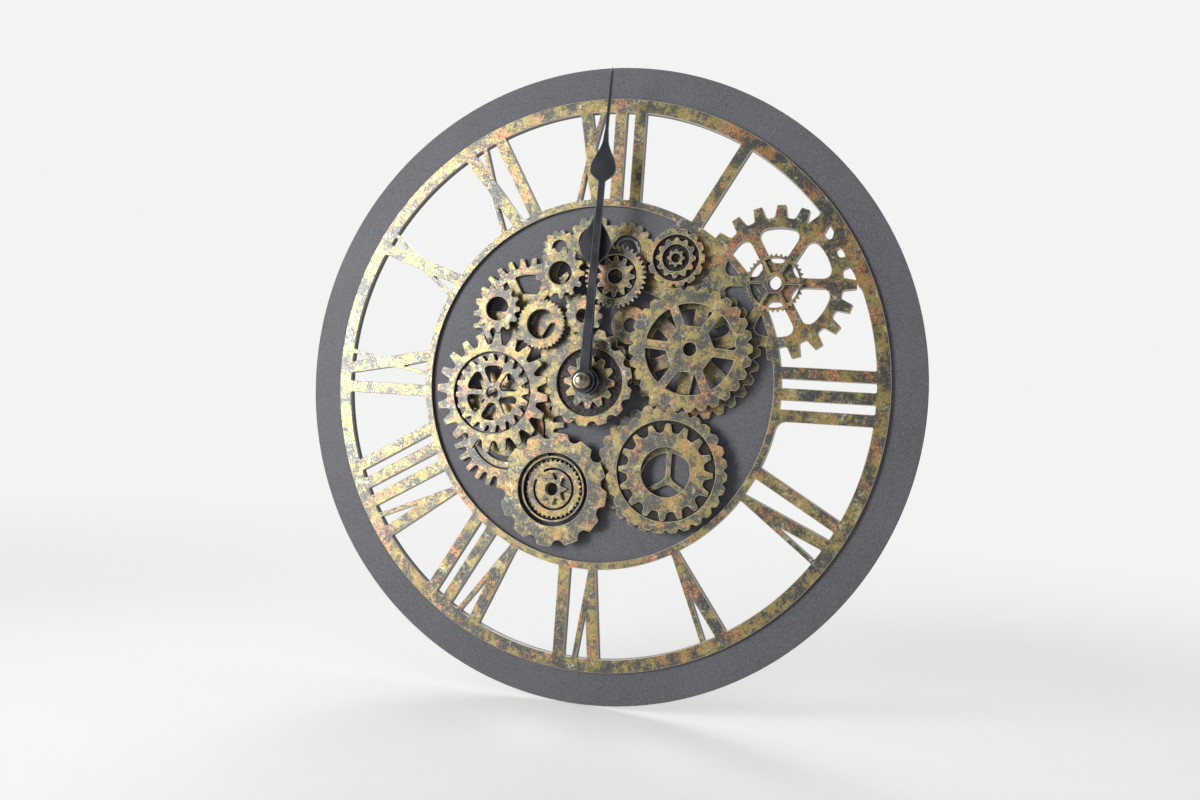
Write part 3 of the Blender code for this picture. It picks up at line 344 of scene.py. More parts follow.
def moulded(name, tint, grain_scale, roughness):
    """Moulded plastic with a fine spark-eroded texture."""
    mixed = Recipe(name)
    grain = mixed.noise(grain_scale, 3.0, 0.6)
    flow = mixed.noise(45.0, 4.0, 0.55, 0.6, 2.0)
    tone = mixed.mix(mixed.band(flow, 0.3, 0.7), shade(tint, 0.9), tint)
    tone = mixed.mix(mixed.band(grain, 0.5, 0.75, 0.0, 0.3), tone, shade(tint, 1.25))
    mixed.bump(grain, 0.3, 0.05)
    return mixed.finish(Base_Color=tone,
                        Roughness=mixed.band(grain, 0.3, 0.7, roughness - 0.06, roughness + 0.08))


def copper_wire():
    """A winding whose turns lie side by side along Z."""
    mixed = Recipe("copper_wire")
    turns = mixed.node("TexWave", "Fac", {"Vector": mixed.place, "Scale": 900.0},
                       bands_direction="Z")
    mixed.bump(turns, 0.8, 0.08)
    return mixed.finish(Base_Color=mixed.mix(turns, (0.22, 0.06, 0.025), (0.62, 0.24, 0.09)),
                        Roughness=0.32, Metallic=0.85)


def board():
    """Green lacquer with faint tracks under it."""
    mixed = Recipe("board")
    tracks = mixed.noise(320.0, 0.0, 0.5, 0.0, 1.0, (1.0, 1.0, 0.15))
    weave = mixed.noise(2400.0, 2.0, 0.5)
    tone = mixed.mix(mixed.band(tracks, 0.50, 0.53), (0.020, 0.105, 0.045), (0.045, 0.19, 0.08))
    mixed.bump(weave, 0.2, 0.03)
    return mixed.finish(Base_Color=tone, Roughness=mixed.band(weave, 0.3, 0.7, 0.28, 0.42))


def battery_jacket():
    """A plain pale jacket with a darker ring near each end, bare metal on the end faces."""
    mixed = Recipe("battery_jacket")
    far = mixed.maths("ABSOLUTE", mixed.axis(mixed.place, "X"))
    ring = mixed.maths("MULTIPLY", mixed.band(far, 0.0195, 0.0196),
                       mixed.band(far, 0.0212, 0.0213, 1.0, 0.0))
    bare = mixed.band(far, 0.0232, 0.0233)
    scuffs = mixed.noise(700.0, 5.0, 0.7, 0.2)
    tone = mixed.mix(ring, (0.50, 0.50, 0.48), (0.10, 0.12, 0.13))
    tone = mixed.mix(bare, tone, (0.60, 0.59, 0.56))
    tone = mixed.mix(mixed.band(scuffs, 0.6, 0.75, 0.0, 0.4), tone, (0.28, 0.28, 0.27))
    mixed.bump(scuffs, 0.1, 0.03)
    return mixed.finish(Base_Color=tone, Metallic=mixed.band(bare, 0.0, 1.0, 0.35, 1.0),
                        Roughness=mixed.band(scuffs, 0.3, 0.7, 0.26, 0.40))


FINISHES = {
    "antique_gold": antique_gold, "charcoal_acrylic": charcoal, "black_acrylic": black_acrylic,
    "satin_black": satin_black, "copper_wire": copper_wire, "board": board,
    "battery_jacket": battery_jacket,
    "pewter": lambda: worn_metal("pewter", colours().pewter, 1400.0, 0.22, 0.40),
    "dark_metal": lambda: worn_metal("dark_metal", colours().dark_metal, 1800.0, 0.2, 0.34),
    "steel": lambda: worn_metal("steel", (0.50, 0.50, 0.51), 1200.0, 0.22, 0.36),
    "brass": lambda: worn_metal("brass", (0.62, 0.44, 0.16), 1500.0, 0.2, 0.36),
    "case_plastic": lambda: moulded("case_plastic", colours().moulding, 1700.0, 0.48),
    "train_plastic": lambda: moulded("train_plastic", colours().natural, 900.0, 0.38),
    "rubber": lambda: moulded("rubber", (0.020, 0.020, 0.020), 1200.0, 0.8),
}
SLOT_OF = {part["node"]: part["material_slot"] for part in frame["record"]["subparts"]}
BODY_OF = {node: body for body, nodes in frame["record"]["behaviour"]["bodies"].items()
           for node in nodes}


@functools.cache
def finish_of(slot):
    """The material of a record slot, made the first time it is asked for."""
    return FINISHES[slot]()


def carry_over(node, rim):
    """Finishes a node of the frame: closed seams, rounded edges and its material."""
    obj = frame["nodes"][node]
    obj.modifiers.new("Weld", "WELD").merge_threshold = 0.000002
    bevel = obj.modifiers.new("Rim", "BEVEL")
    bevel.width = rim
    bevel.segments = 1
    bevel.limit_method = "ANGLE"
    bevel.angle_limit = math.radians(40.0)
    bevel.use_clamp_overlap = True
    obj.data.materials.clear()
    obj.data.materials.append(finish_of(SLOT_OF[node]))


def linked(name, data):
    """A new object in the scene, with this mesh, lamp or camera."""
    obj = bpy.data.objects.new(name, data)
    bpy.context.scene.collection.objects.link(obj)
    return obj


def object_of(name, solid):
    """A new object from an edited mesh, which is used up."""
    mesh = bpy.data.meshes.new(name)
    solid.to_mesh(mesh)
    solid.free()
    return linked(name, mesh)


# Cut sheet, drawn flat in XY in millimetres and stood up at the end

CORNER_ANGLE = math.radians(150.0)
SHARP_EDGE = math.radians(32.0)
CORNER_EASE = 0.6
SLOT_CORNER = 0.4
# Part of the normal that makes a face a front one, and a flat one
FRONT_FACE = 0.99
FLAT_FACE = 0.9999
# Points nearer than this become one: between teeth, in an outline, in a merged solid, in a
# joined sheet, in a turned solid
TOOTH_WELD = 0.01
OUTLINE_WELD = 0.002
MERGED_WELD = 0.004
JOINED_WELD = 0.02
TURNED_WELD = 0.0001
# Rounding of teeth: largest shares of the tip's and the gap's width, and how much softer the
# feet are
TIP_CORNER = 0.32
FOOT_CORNER = 0.42
FOOT_SOFTER = 2.5
# Shares of the pitch: the widest root that counts, and half of a root that still leaves a gap
# with a flat bottom
WIDEST_ROOT = 0.75
FLAT_ROOT = 0.49


def polar(radius, degrees, centre=(0.0, 0.0)):
    angle = math.radians(degrees)
    return (centre[0] + radius * math.cos(angle), centre[1] + radius * math.sin(angle))


def arc(radius, start, end, steps, centre=(0.0, 0.0)):
    return [polar(radius, start + (end - start) * k / steps, centre) for k in range(steps + 1)]


def wire(flat, points, closed=True):
    verts = [flat.verts.new((x, y, 0.0)) for x, y in points]
    ends = verts[1:] + verts[:1] if closed else verts[1:]
    edges = [flat.edges.new(pair) for pair in zip(verts, ends)]
    return verts, edges


def sharp(verts):
    """Points of a drawn line where it turns a corner."""
    found = []
    for vert in verts:
        before, after = (edge.other_vert(vert).co - vert.co for edge in vert.link_edges)
        if before.angle(after) < CORNER_ANGLE:
            found.append(vert)
    return found


def round_corners(flat, corners, radius, segments=4):
    bmesh.ops.bevel(flat, geom=corners, offset=radius, offset_type="OFFSET", segments=segments,
                    profile=0.5, affect="VERTICES", material=-1, clamp_overlap=True)


def outline(flat, points, corner=0.0):
    """A closed line, its corners rounded one by one, so that a short side limits only its own."""
    verts, _ = wire(flat, points)
    if corner:
        for vert in sharp(verts):
            round_corners(flat, [vert], corner)


def repeat_round(flat, geom, copies, centre):
    """Copies of a piece of outline, evenly round a centre."""
    turn = 2.0 * math.pi * (copies - 1) / copies
    bmesh.ops.spin(flat, geom=geom, angle=turn, steps=copies - 1, axis=(0.0, 0.0, 1.0),
                   cent=(*centre, 0.0), use_duplicate=True)


def round_hole(flat, radius, centre=(0.0, 0.0)):
    segments = int(min(240, max(28, 16 * math.sqrt(radius))))
    bmesh.ops.create_circle(flat, cap_ends=False, radius=radius, segments=segments,
                            matrix=Matrix.Translation((*centre, 0.0)))


def toothed_edge(flat, teeth, tip, root, tip_width, root_width, phase=0.0, centre=(0.0, 0.0)):
    """One tooth from gap middle to gap middle, repeated round, with rounded corners.

    A root width over the pitch gives gaps that are round at the bottom.
    """
    pitch = 360.0 / teeth
    half_tip = math.degrees(tip_width / (2.0 * tip))
    half_root = math.degrees(root_width / (2.0 * root))
    sides = [(tip, -half_tip), (tip, half_tip)]
    if half_root < FLAT_ROOT * pitch:
        sides = [(root, -half_root), *sides, (root, half_root)]
    sides = [(root, -pitch / 2.0), *sides, (root, pitch / 2.0)]
    before = set(flat.verts)
    verts, edges = wire(flat, [polar(radius, phase + turn, centre) for radius, turn in sides],
                        closed=False)
    repeat_round(flat, verts + edges, teeth, centre)
    bmesh.ops.remove_doubles(flat, verts=[v for v in flat.verts if v not in before],
                             dist=TOOTH_WELD)
    middle = Vector((*centre, 0.0))
    corners = sharp([v for v in flat.verts if v not in before])
    tips = [vert for vert in corners if (vert.co - middle).length > (tip + root) / 2.0]
    feet = [vert for vert in corners if vert not in set(tips)]
    soften = sizes().tooth_corner / MM
    gap = math.radians(pitch) * root - min(root_width, WIDEST_ROOT * math.radians(pitch) * root)
    round_corners(flat, tips, min(soften, TIP_CORNER * tip_width), 3)
    round_corners(flat, feet, min(FOOT_SOFTER * soften, FOOT_CORNER * gap), 4)


def curve(start, first_handle, second_handle, end, steps=10):
    points = [Vector((*point, 0.0)) for point in (start, first_handle, second_handle, end)]
    return [tuple(point[:2]) for point in interpolate_bezier(*points, steps)]


def between(start, end, reach):
    """The point at this distance from start, on the way to end."""
    share = reach / math.dist(start, end)
    return tuple(a + share * (b - a) for a, b in zip(start, end))


def eased(start, corner, end):
    """A rounded corner from start to end."""
    handles = [between(point, corner, CORNER_EASE * math.dist(point, corner))
               for point in (start, end)]
    return curve(start, *handles, end, 7)


def spoke_windows(flat, spokes, phase, spoke, inner, outer, centre, corner, inner_corner=0.4,
                  round_hub=False):
    """Openings between spokes whose sides run parallel to the spokes."""
    inner_turn, outer_turn = (math.degrees(math.asin(spoke / 2.0 / radius))
                              for radius in (inner, outer))
    last = phase + 360.0 / spokes
    near = [polar(inner, turn, centre) for turn in (phase + inner_turn, last - inner_turn)]
    away = [polar(outer, turn, centre) for turn in (last - outer_turn, phase + outer_turn)]
    inner_corner = min(inner_corner, FOOT_CORNER * math.dist(*near))
    hub_side = [between(*near, inner_corner), between(*near[::-1], inner_corner)]
    if round_hub:
        inner_turn += math.degrees(inner_corner / inner)
        hub_side = arc(inner, phase + inner_turn, last - inner_turn, 6, centre)
    outer_turn += math.degrees(corner / outer)
    rim_side = arc(outer, last - outer_turn, phase + outer_turn, 14, centre)
    points = eased(between(near[0], away[1], inner_corner), near[0], hub_side[0])
    points += hub_side[1:-1]
    points += eased(hub_side[-1], near[1], between(near[1], away[0], inner_corner))
    points += eased(between(away[0], near[1], corner), away[0], rim_side[0])
    points += rim_side[1:-1]
    points += eased(rim_side[-1], away[1], between(away[1], near[0], corner))
    verts, edges = wire(flat, points)
    repeat_round(flat, verts + edges, spokes, centre)


def arc_slot(flat, inner, outer, start, end, centre=(0.0, 0.0)):
    """A slot that follows an arc and has rounded ends."""
    steps = max(6, int(abs(end - start) / 5.0))
    far = arc(outer, start, end, steps, centre)
    near = arc(inner, end, start, steps, centre)
    outline(flat, far + near, SLOT_CORNER * (outer - inner))


# Outlines that are handed on, to be drawn later

def box_outline(left, low, right, high, corner=0.0):
    def draw(flat):
        outline(flat, [(left, low), (right, low), (right, high), (left, high)], corner)
    return draw


def ring_outline(outer, inner, centre=(0.0, 0.0)):
    def draw(flat):
        round_hole(flat, outer, centre)
        round_hole(flat, inner, centre)
    return draw


def gear_outline(place, teeth, hole=0.0, spokes=(), corners=()):
    """A gear with a hole or none, and with windows between spokes or none."""
    def draw(flat):
        toothed_edge(flat, *teeth, place)
        if spokes:
            spoke_windows(flat, *spokes, place, *corners)
        if hole:
            round_hole(flat, hole, place)
    return draw


def filled(flat):
    """Fills the outline between its outer edge and its holes, facing up."""
    bmesh.ops.remove_doubles(flat, verts=flat.verts, dist=OUTLINE_WELD)
    bmesh.ops.triangle_fill(flat, use_beauty=True, use_dissolve=False, edges=flat.edges[:])
    loose = [vert for vert in flat.verts if not vert.link_faces]
    bmesh.ops.delete(flat, geom=loose, context="VERTS")
    flat.normal_update()
    down = [face for face in flat.faces if face.normal.z < 0.0]
    bmesh.ops.reverse_faces(flat, faces=down)


def chamfer_front(flat, rim, even=True):
    """Insets the flat front by the rim and raises it by as much."""
    top = [face for face in flat.faces if face.normal.z > FRONT_FACE]
    bmesh.ops.inset_region(flat, faces=top, thickness=rim, depth=rim, use_even_offset=even,
                           use_boundary=True)


def crease(solid):
    """Smooth sides, flat fronts and backs, and sharp edges where the surface turns more."""
    for face in solid.faces:
        face.smooth = abs(face.normal.y) < FLAT_FACE
    for edge in solid.edges:
        if len(edge.link_faces) == 2:
            edge.smooth = edge.calc_face_angle(math.pi) < SHARP_EDGE


def add_piece(name, solid, slot, body="clock", replaces=()):
    """Makes a finished piece of the clock from a mesh in metres."""
    crease(solid)
    obj = object_of(name, solid)
    obj.data.materials.append(finish_of(slot))
    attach(obj, body)
    if replaces:
        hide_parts(*replaces)


def stand(flat, back_mm):
    """From the drawing plane in millimetres to the clock's frame, its back at this depth."""
    place = Matrix.Translation((0.0, -back_mm * MM, 0.0)) @ STAND_UP @ Matrix.Scale(MM, 4)
    bmesh.ops.transform(flat, matrix=place, verts=flat.verts)


def depths(node):
    """Back and front depth of a node in millimetres in front of the wall."""
    low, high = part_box(node)
    return -high.y / MM, -low.y / MM


def sheet(draw, thickness, rim=0.0):
    """A sheet cut along the outline that draw makes, with a chamfer round its front."""
    flat = bmesh.new()
    draw(flat)
    filled(flat)
    raised = bmesh.ops.extrude_face_region(flat, geom=flat.faces[:], use_keep_orig=True)["geom"]
    verts = [item for item in raised if isinstance(item, bmesh.types.BMVert)]
    bmesh.ops.translate(flat, verts=verts, vec=(0.0, 0.0, thickness - rim))
    flat.normal_update()
    if rim:
        chamfer_front(flat, rim)
    return flat


def stands_for(node, solid, back=0.0):
    stand(solid, back)
    add_piece("fine_" + node, solid, SLOT_OF[node], BODY_OF[node], (node,))


def cut_piece(node, draw, rim=None):
    """A sheet piece that stands for a node."""
    back, front = depths(node)
    rim = sizes().rim / MM if rim is None else rim
    stands_for(node, sheet(draw, front - back, rim), back)


def merged(name, solids, cutters=()):
    """One closed solid in millimetres from overlapping ones, less the cutters."""
    parts = [object_of(name, solid) for solid in (*solids, *cutters)]
    for k, other in enumerate(parts[1:], 1):
        step = parts[0].modifiers.new("Join", "BOOLEAN")
        step.operation = "UNION" if k < len(solids) else "DIFFERENCE"
        step.solver = "EXACT"
        step.object = other
    solid = bmesh.new()
    solid.from_object(parts[0], bpy.context.evaluated_depsgraph_get())
    for part in parts:
        bpy.data.objects.remove(part, do_unlink=True)
    bmesh.ops.remove_doubles(solid, verts=solid.verts, dist=MERGED_WELD)
    return solid


def joined_piece(node, draws, rim):
    """A sheet piece cut from overlapping outlines, joined into one before its rim is cut."""
    back, front = depths(node)
    solid = merged(node, [sheet(draw, front - back - rim) for draw in draws])
    bmesh.ops.remove_doubles(solid, verts=solid.verts, dist=JOINED_WELD)
    bmesh.ops.dissolve_limit(solid, angle_limit=math.radians(0.2), verts=solid.verts,
                             edges=solid.edges)
    bmesh.ops.dissolve_degenerate(solid, dist=0.01, edges=solid.edges)
    loose = [edge for edge in solid.edges if not edge.link_faces]
    bmesh.ops.delete(solid, geom=loose, context="EDGES")
    bmesh.ops.triangulate(solid, faces=solid.faces)
    solid.normal_update()
    chamfer_front(solid, rim, False)
    stands_for(node, solid, back)


def turned(profile, steps):
    """A closed round solid from (radius, height) points, about Z."""
    solid = bmesh.new()
    verts = [solid.verts.new((radius, 0.0, height)) for radius, height in profile]
    edges = [solid.edges.new(pair) for pair in zip(verts, verts[1:])]
    bmesh.ops.spin(solid, geom=verts + edges, angle=2.0 * math.pi, steps=steps,
                   axis=(0.0, 0.0, 1.0), cent=(0.0, 0.0, 0.0), use_merge=True)
    bmesh.ops.remove_doubles(solid, verts=solid.verts, dist=TURNED_WELD)
    bmesh.ops.recalc_face_normals(solid, faces=solid.faces)
    return solid


# Dial, in millimetres like all that follows

BASE_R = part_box("base_plate")[1].x / MM
HUB_HOLE = 4.3
GOLD_OUTER = 148.0
OUTER_RING = 6.8
GOLD_INNER = 92.1
INNER_RING = 3.7
WINDOW_OUTER = GOLD_OUTER - OUTER_RING
WINDOW_INNER = GOLD_INNER + INNER_RING

# Roman numerals; a point is (distance across, share of the numeral's height)
STROKE = 6.1
STROKE_GAP = 4.4
THIN_STROKE = 2.4
V_WIDTH = 14.4
V_FOOT_FROM = 4.9
V_FOOT = 3.8
V_POINT = (8.9, 0.467)
X_WIDTH = 13.4
X_ADVANCE = 14.5
X_LEFT_WAIST = (4.6, 0.4515)
X_RIGHT_WAIST = (9.4, 0.6057)
X_UPPER_POINT = (8.3, 0.7533)
X_LOWER_POINT = (5.4, 0.3062)
X_FOOT_FROM = 0.9
X_THIN_FOOT = 2.2
X_THICK_FOOT = (8.7, 14.6)
WIDE_CORNER_HOUR = 3
WIDE_CORNER = 4.5
NUMERALS = {0: "XII", 1: "I", 3: "III", 4: "IV", 5: "V", 6: "VI",
            7: "VII", 8: "VIII", 9: "IX", 10: "X", 11: "XI"}


def stroke_end(side, radius):
    return (side, math.sqrt(radius * radius - side * side))


def letter_sides(letter, start):
    """Left side, right side and inner windows of one letter, in the numeral's own plan."""
    def top(across):
        return stroke_end(start + across, WINDOW_OUTER)

    def foot(across):
        return stroke_end(start + across, WINDOW_INNER)

    def inside(point):
        across, share = point
        return (start + across, WINDOW_INNER + share * (WINDOW_OUTER - WINDOW_INNER))

    if letter == "I":
        return [top(0.0), foot(0.0)], [top(STROKE), foot(STROKE)], []
    if letter == "V":
        window = [top(STROKE), top(V_WIDTH - THIN_STROKE), inside(V_POINT)]
        return ([top(0.0), foot(V_FOOT_FROM)], [top(V_WIDTH), foot(V_FOOT_FROM + V_FOOT)],
                [window])
    left = [top(0.0), inside(X_LEFT_WAIST), foot(X_FOOT_FROM)]
    right = [top(X_WIDTH), inside(X_RIGHT_WAIST), foot(X_THICK_FOOT[1])]
    upper = [top(STROKE), top(X_WIDTH - THIN_STROKE), inside(X_UPPER_POINT)]
    lower = [foot(X_FOOT_FROM + X_THIN_FOOT), inside(X_LOWER_POINT), foot(X_THICK_FOOT[0])]
    return left, right, [upper, lower]


def numeral_sides(text):
    widths = {"I": STROKE, "V": V_WIDTH, "X": X_ADVANCE}
    total = sum(widths[letter] for letter in text) + STROKE_GAP * (len(text) - 1)
    start = -total / 2.0
    letters = []
    for letter in text:
        letters.append(letter_sides(letter, start))
        start += widths[letter] + STROKE_GAP
    return letters


def on_dial(point, hour):
    """A numeral's plan point (across, out) at its hour on the dial."""
    angle = math.radians(30.0 * hour)
    across, out = point
    return (out * math.sin(angle) + across * math.cos(angle),
            out * math.cos(angle) - across * math.sin(angle))


def ring_between(start, end):
    """Points inside an arc about the hands' axis, between two points, turning clockwise."""
    radius = math.hypot(*start)
    first = math.degrees(math.atan2(start[1], start[0]))
    last = math.degrees(math.atan2(end[1], end[0]))
    if last > first:
        last -= 360.0
    return arc(radius, first, last, max(2, round(first - last)))[1:-1]


def dial_windows(flat, corner):
    """Every opening between the outer ring and the inner ring."""
    ends = []
    for hour, text in NUMERALS.items():
        letters = numeral_sides(text)
        for _, _, windows in letters:
            for window in windows:
                outline(flat, [on_dial(point, hour) for point in window], corner)
        for (_, right, _), (left, _, _) in zip(letters, letters[1:]):
            outline(flat, [on_dial(point, hour) for point in right + left[::-1]], corner)
        first = [on_dial(point, hour) for point in letters[0][0]]
        last = [on_dial(point, hour) for point in letters[-1][1]]
        ends.append((first, last))
    for hour, (_, last), (first, _) in zip(NUMERALS, ends, ends[1:] + ends[:1]):
        loop = [last[0]] + ring_between(last[0], first[0]) + first
        inner = ring_between(last[-1], first[-1])[::-1]
        foot = last[:0:-1]
        if hour == WIDE_CORNER_HOUR:
            inner = [point for point in inner if math.dist(point, foot[0]) > WIDE_CORNER]
            foot = eased(inner.pop(), foot[0], between(foot[0], last[0], WIDE_CORNER))
        outline(flat, loop + inner + foot, corner)


# Large open gear at the upper right, cut in one with the ring
OPEN_GEAR = ((90.1, 54.8), (20, 38.6, 32.2, 4.4, 6.4, 0.0), 3.6, (6, 0.0, 5.0, 9.6, 27.0))
RING_JOINT = [(129.5, 54.0), (127.0, 60.0), (124.5, 63.5), (121.0, 62.5), (119.0, 56.0),
              (112.0, 74.0), (100.5, 82.0), (108.5, 88.2), (110.1, 93.7), (137.3, 45.4)]
JOINT_DROP = [(113.8, 84.9), (116.2, 80.6), (115.5, 77.1), (113.8, 76.3), (112.0, 77.1),
              (111.3, 80.6)]
JOINT_DIAMOND = [(117.6, 72.5), (120.2, 72.2), (122.2, 69.0), (121.7, 66.8), (119.1, 67.1)]


def open_gear(corner):
    return gear_outline(*OPEN_GEAR, (corner, 0.6 * corner, True))


def ring_joint(flat):
    outline(flat, RING_JOINT, corner=1.2)
    outline(flat, JOINT_DROP, corner=0.5)
    outline(flat, JOINT_DIAMOND, corner=0.6)


def base_disc(flat):
    round_hole(flat, BASE_R)
    round_hole(flat, HUB_HOLE)
    dial_windows(flat, 0.0)


def dial_rings(flat):
    round_hole(flat, GOLD_OUTER)
    round_hole(flat, GOLD_INNER)
    dial_windows(flat, sizes().window_corner / MM)


# Flat gears cut in one with the dial. A gear is its place; teeth, tip and root radius, tooth
# width at tip and root, phase; hole; spokes, their phase and width, hub and rim radius; the
# rounding at rim and hub, and whether the hub is round.
ROUND_GAPS = 100.0
BRIDGE = [(21.0, 49.0), (25.0, 62.0), (27.0, 76.0), (40.0, 85.0), (51.0, 80.0), (60.5, 73.0),
          (62.0, 60.0), (66.0, 57.0), (66.0, 52.0), (50.0, 51.0), (34.0, 44.0)]
FLAT_RIGHT = ((50.4, 18.1), (28, 34.1, 30.4, 3.0, ROUND_GAPS, 3.0), 0.0,
              (6, 20.0, 7.0, 9.0, 22.2), (0.6,))
FLAT_LOWER = ((37.1, -41.3), (28, 32.5, 30.0, 3.0, ROUND_GAPS, 2.0))
THREE_SPOKES = (3, 90.0, 2.6, 2.6, 14.0, (42.1, -47.0), 0.8, 0.5)
FLAT_TOP = ((12.0, 69.1), (18, 14.5, 12.4, 1.8, ROUND_GAPS, 0.0), 7.9)
FLAT_BY_HAND = ((-6.5, 73.5), (13, 13.4, 10.9, 2.2, ROUND_GAPS, 8.0), 7.4)
FLAT_SMALL = ((-24.4, 69.9), (13, 9.4, 7.7, 1.4, ROUND_GAPS, 248.5), 4.1)
FLAT_DISC = (9.9, 3.6, (16.9, 30.7))


def flat_lower(flat):
    gear_outline(*FLAT_LOWER)(flat)
    spoke_windows(flat, *THREE_SPOKES)


class CLOCK_OT_base_plate(bpy.types.Operator):
    """Cut the charcoal base plate"""

    bl_idname = "clock.base_plate"
    bl_label = "Base plate"

    def execute(self, context):
        joined_piece("base_plate", [base_disc, open_gear(4.5), ring_joint], sizes().base_rim / MM)
        return {"FINISHED"}


class CLOCK_OT_dial(bpy.types.Operator):
    """Cut the gold dial with its numerals"""

    bl_idname = "clock.dial"
    bl_label = "Dial"

    def execute(self, context):
        draws = [dial_rings, open_gear(5.0), ring_joint, lambda flat: outline(flat, BRIDGE, 1.5),
                 gear_outline(*FLAT_RIGHT), flat_lower, gear_outline(*FLAT_TOP),
                 gear_outline(*FLAT_BY_HAND), gear_outline(*FLAT_SMALL),
                 ring_outline(*FLAT_DISC)]
        joined_piece("dial_overlay", draws, sizes().rim / MM)
        return {"FINISHED"}


# Raised gears with plain rings: place, teeth as above, hole
RAISED_GEARS = {
    "left_ring_gear": ((-53.8, -8.4), (20, 31.3, 25.4, 3.3, 5.8, -2.0), 21.6),
    "lower_ring_gear": ((-17.3, -56.2), (12, 29.4, 26.2, 7.4, 10.7, -5.0), 19.0),
    "lower_star_pinion": ((-17.7, -56.0), (8, 8.2, 5.1, 0.6, 3.2, 4.0), 3.4),
    "right_ring_gear": ((41.7, -42.0), (28, 31.2, 29.0, 3.0, ROUND_GAPS, -1.5), 25.4),
    "right_inner_gear": ((41.6, -42.6), (16, 24.3, 19.9, 2.4, 4.6, 0.0), 12.6),
    "centre_ring_gear": ((0.0, 0.0), (13, 22.7, 20.1, 5.0, 7.0, 15.0), 17.5),
    "centre_pinion": ((0.0, 0.0), (12, 13.5, 10.1, 2.4, 4.8, 0.0), HUB_HOLE),
    "upper_left_pinion": ((-54.1, 35.9), (13, 12.7, 10.3, 2.0, 3.4, 0.0), 6.3),
    "fine_tooth_gear": ((-29.0, 28.7), (36, 13.1, 12.1, 0.6, ROUND_GAPS, 0.0), 7.8),
    "upper_pinion": ((-20.7, 55.6), (13, 13.4, 10.8, 2.0, 3.4, 0.0), 6.2),
    "top_ring_gear": ((9.2, 54.5), (36, 16.2, 14.5, 1.1, 1.6, 0.0), 11.2),
    "top_inner_gear": ((9.0, 54.6), (12, 10.6, 7.8, 1.4, 3.0, 0.0), 4.0),
    "top_right_ring": ((39.5, 65.1), (14, 14.9, 13.2, 3.6, 5.0, 0.0), 11.9),
    "top_right_middle_ring": ((39.5, 65.1), (12, 10.3, 8.5, 1.4, 3.4, 0.0), 7.0),
    "top_right_star": ((39.5, 65.1), (8, 4.6, 3.4, 0.5, 2.2, 0.0), 2.5),
    "small_pinion": ((-7.6, 34.1), (12, 10.7, 8.8, 1.8, 3.2, 0.0), 3.6),
}

# Black spacers: outer and inner radius, place
SPACER_RIM = 0.12
SPACERS = {
    "left_gear_spacer": (23.9, 17.6, (-53.7, -8.4)),
    "lower_gear_spacer": (25.0, 19.6, (-17.3, -56.2)),
    "right_gear_spacer": (27.6, 17.0, (41.7, -42.2)),
    "spoked_gear_spacer": (27.4, 23.4, (50.3, 19.3)),
    "centre_spacer": (19.2, HUB_HOLE, (0.0, 0.0)),
    "upper_left_spacer": (9.6, 6.9, (-54.1, 35.9)),
    "fine_tooth_spacer": (9.4, 7.9, (-29.0, 28.7)),
    "upper_spacer": (10.0, 6.8, (-20.7, 55.6)),
    "top_gear_spacer": (13.2, 6.6, (9.1, 54.5)),
    "top_right_disc": (13.0, 2.0, (39.5, 65.1)),
}


# Raised gears with spokes, the last of them flush in the dial's recess
UPPER_FLUSH_AT = (-39.1, 32.6)
FLUSH_TEETH = 28
FLUSH_TIP = 31.5
UPPER_PHASE = 68.5 + 180.0 / FLUSH_TEETH
SPOKED_GEARS = {
    "left_spoked_gear": ((-53.6, -8.5), (20, 20.7, 17.0, 2.4, 4.2, 5.5), 3.3,
                         (6, 0.0, 2.6, 5.2, 14.4), (2.6, 0.9, True)),
    "spoked_plate_gear": ((50.3, 19.3), (28, 31.4, 28.7, 3.0, ROUND_GAPS, 3.0), 3.5,
                          (6, -5.0, 4.5, 12.2, 23.0), (0.7, 0.6)),
    "spoked_wheel": ((89.3, 54.2), (36, 14.5, 13.4, 0.5, 1.6, 0.0), 3.4,
                     (6, 0.0, 1.3, 5.2, 12.2), (0.5, 0.4, True)),
    "upper_flush_gear": (UPPER_FLUSH_AT, (FLUSH_TEETH, FLUSH_TIP, 26.5, 2.4, 4.0, UPPER_PHASE),
                         4.0, (6, 0.0, 5.0, 13.0, 22.6), (0.8,)),
}
FINE_RIM = 0.18
SLOTTED_GEAR_AT = (-17.4, -56.1)
THIN_RING = (17.0, 16.1, (-17.1, -55.9))
BACK_GEAR = ((-5.0, 3.0), (20, 25.5, 23.0, 3.4, ROUND_GAPS, 0.0))


def lower_slotted_gear(flat):
    toothed_edge(flat, 36, 15.3, 14.2, 0.6, 1.7, 0.0, SLOTTED_GEAR_AT)
    arc_slot(flat, 9.9, 11.1, 155.0, 485.0, SLOTTED_GEAR_AT)
    round_hole(flat, 3.4, SLOTTED_GEAR_AT)


def centre_back_gear(flat):
    gear_outline(*BACK_GEAR)(flat)
    round_hole(flat, HUB_HOLE)


class CLOCK_OT_raised_gears(bpy.types.Operator):
    """Cut the gold gears that stand on spacers"""

    bl_idname = "clock.raised_gears"
    bl_label = "Raised gears"

    def execute(self, context):
        for node, spec in RAISED_GEARS.items():
            cut_piece(node, gear_outline(*spec))
        for node in ("left_spoked_gear", "spoked_plate_gear"):
            cut_piece(node, gear_outline(*SPOKED_GEARS[node]))
        cut_piece("centre_back_gear", centre_back_gear)
        cut_piece("spoked_wheel", gear_outline(*SPOKED_GEARS["spoked_wheel"]), FINE_RIM)
        cut_piece("lower_slotted_gear", lower_slotted_gear, FINE_RIM)
        cut_piece("lower_thin_ring", ring_outline(*THIN_RING), FINE_RIM)
        return {"FINISHED"}


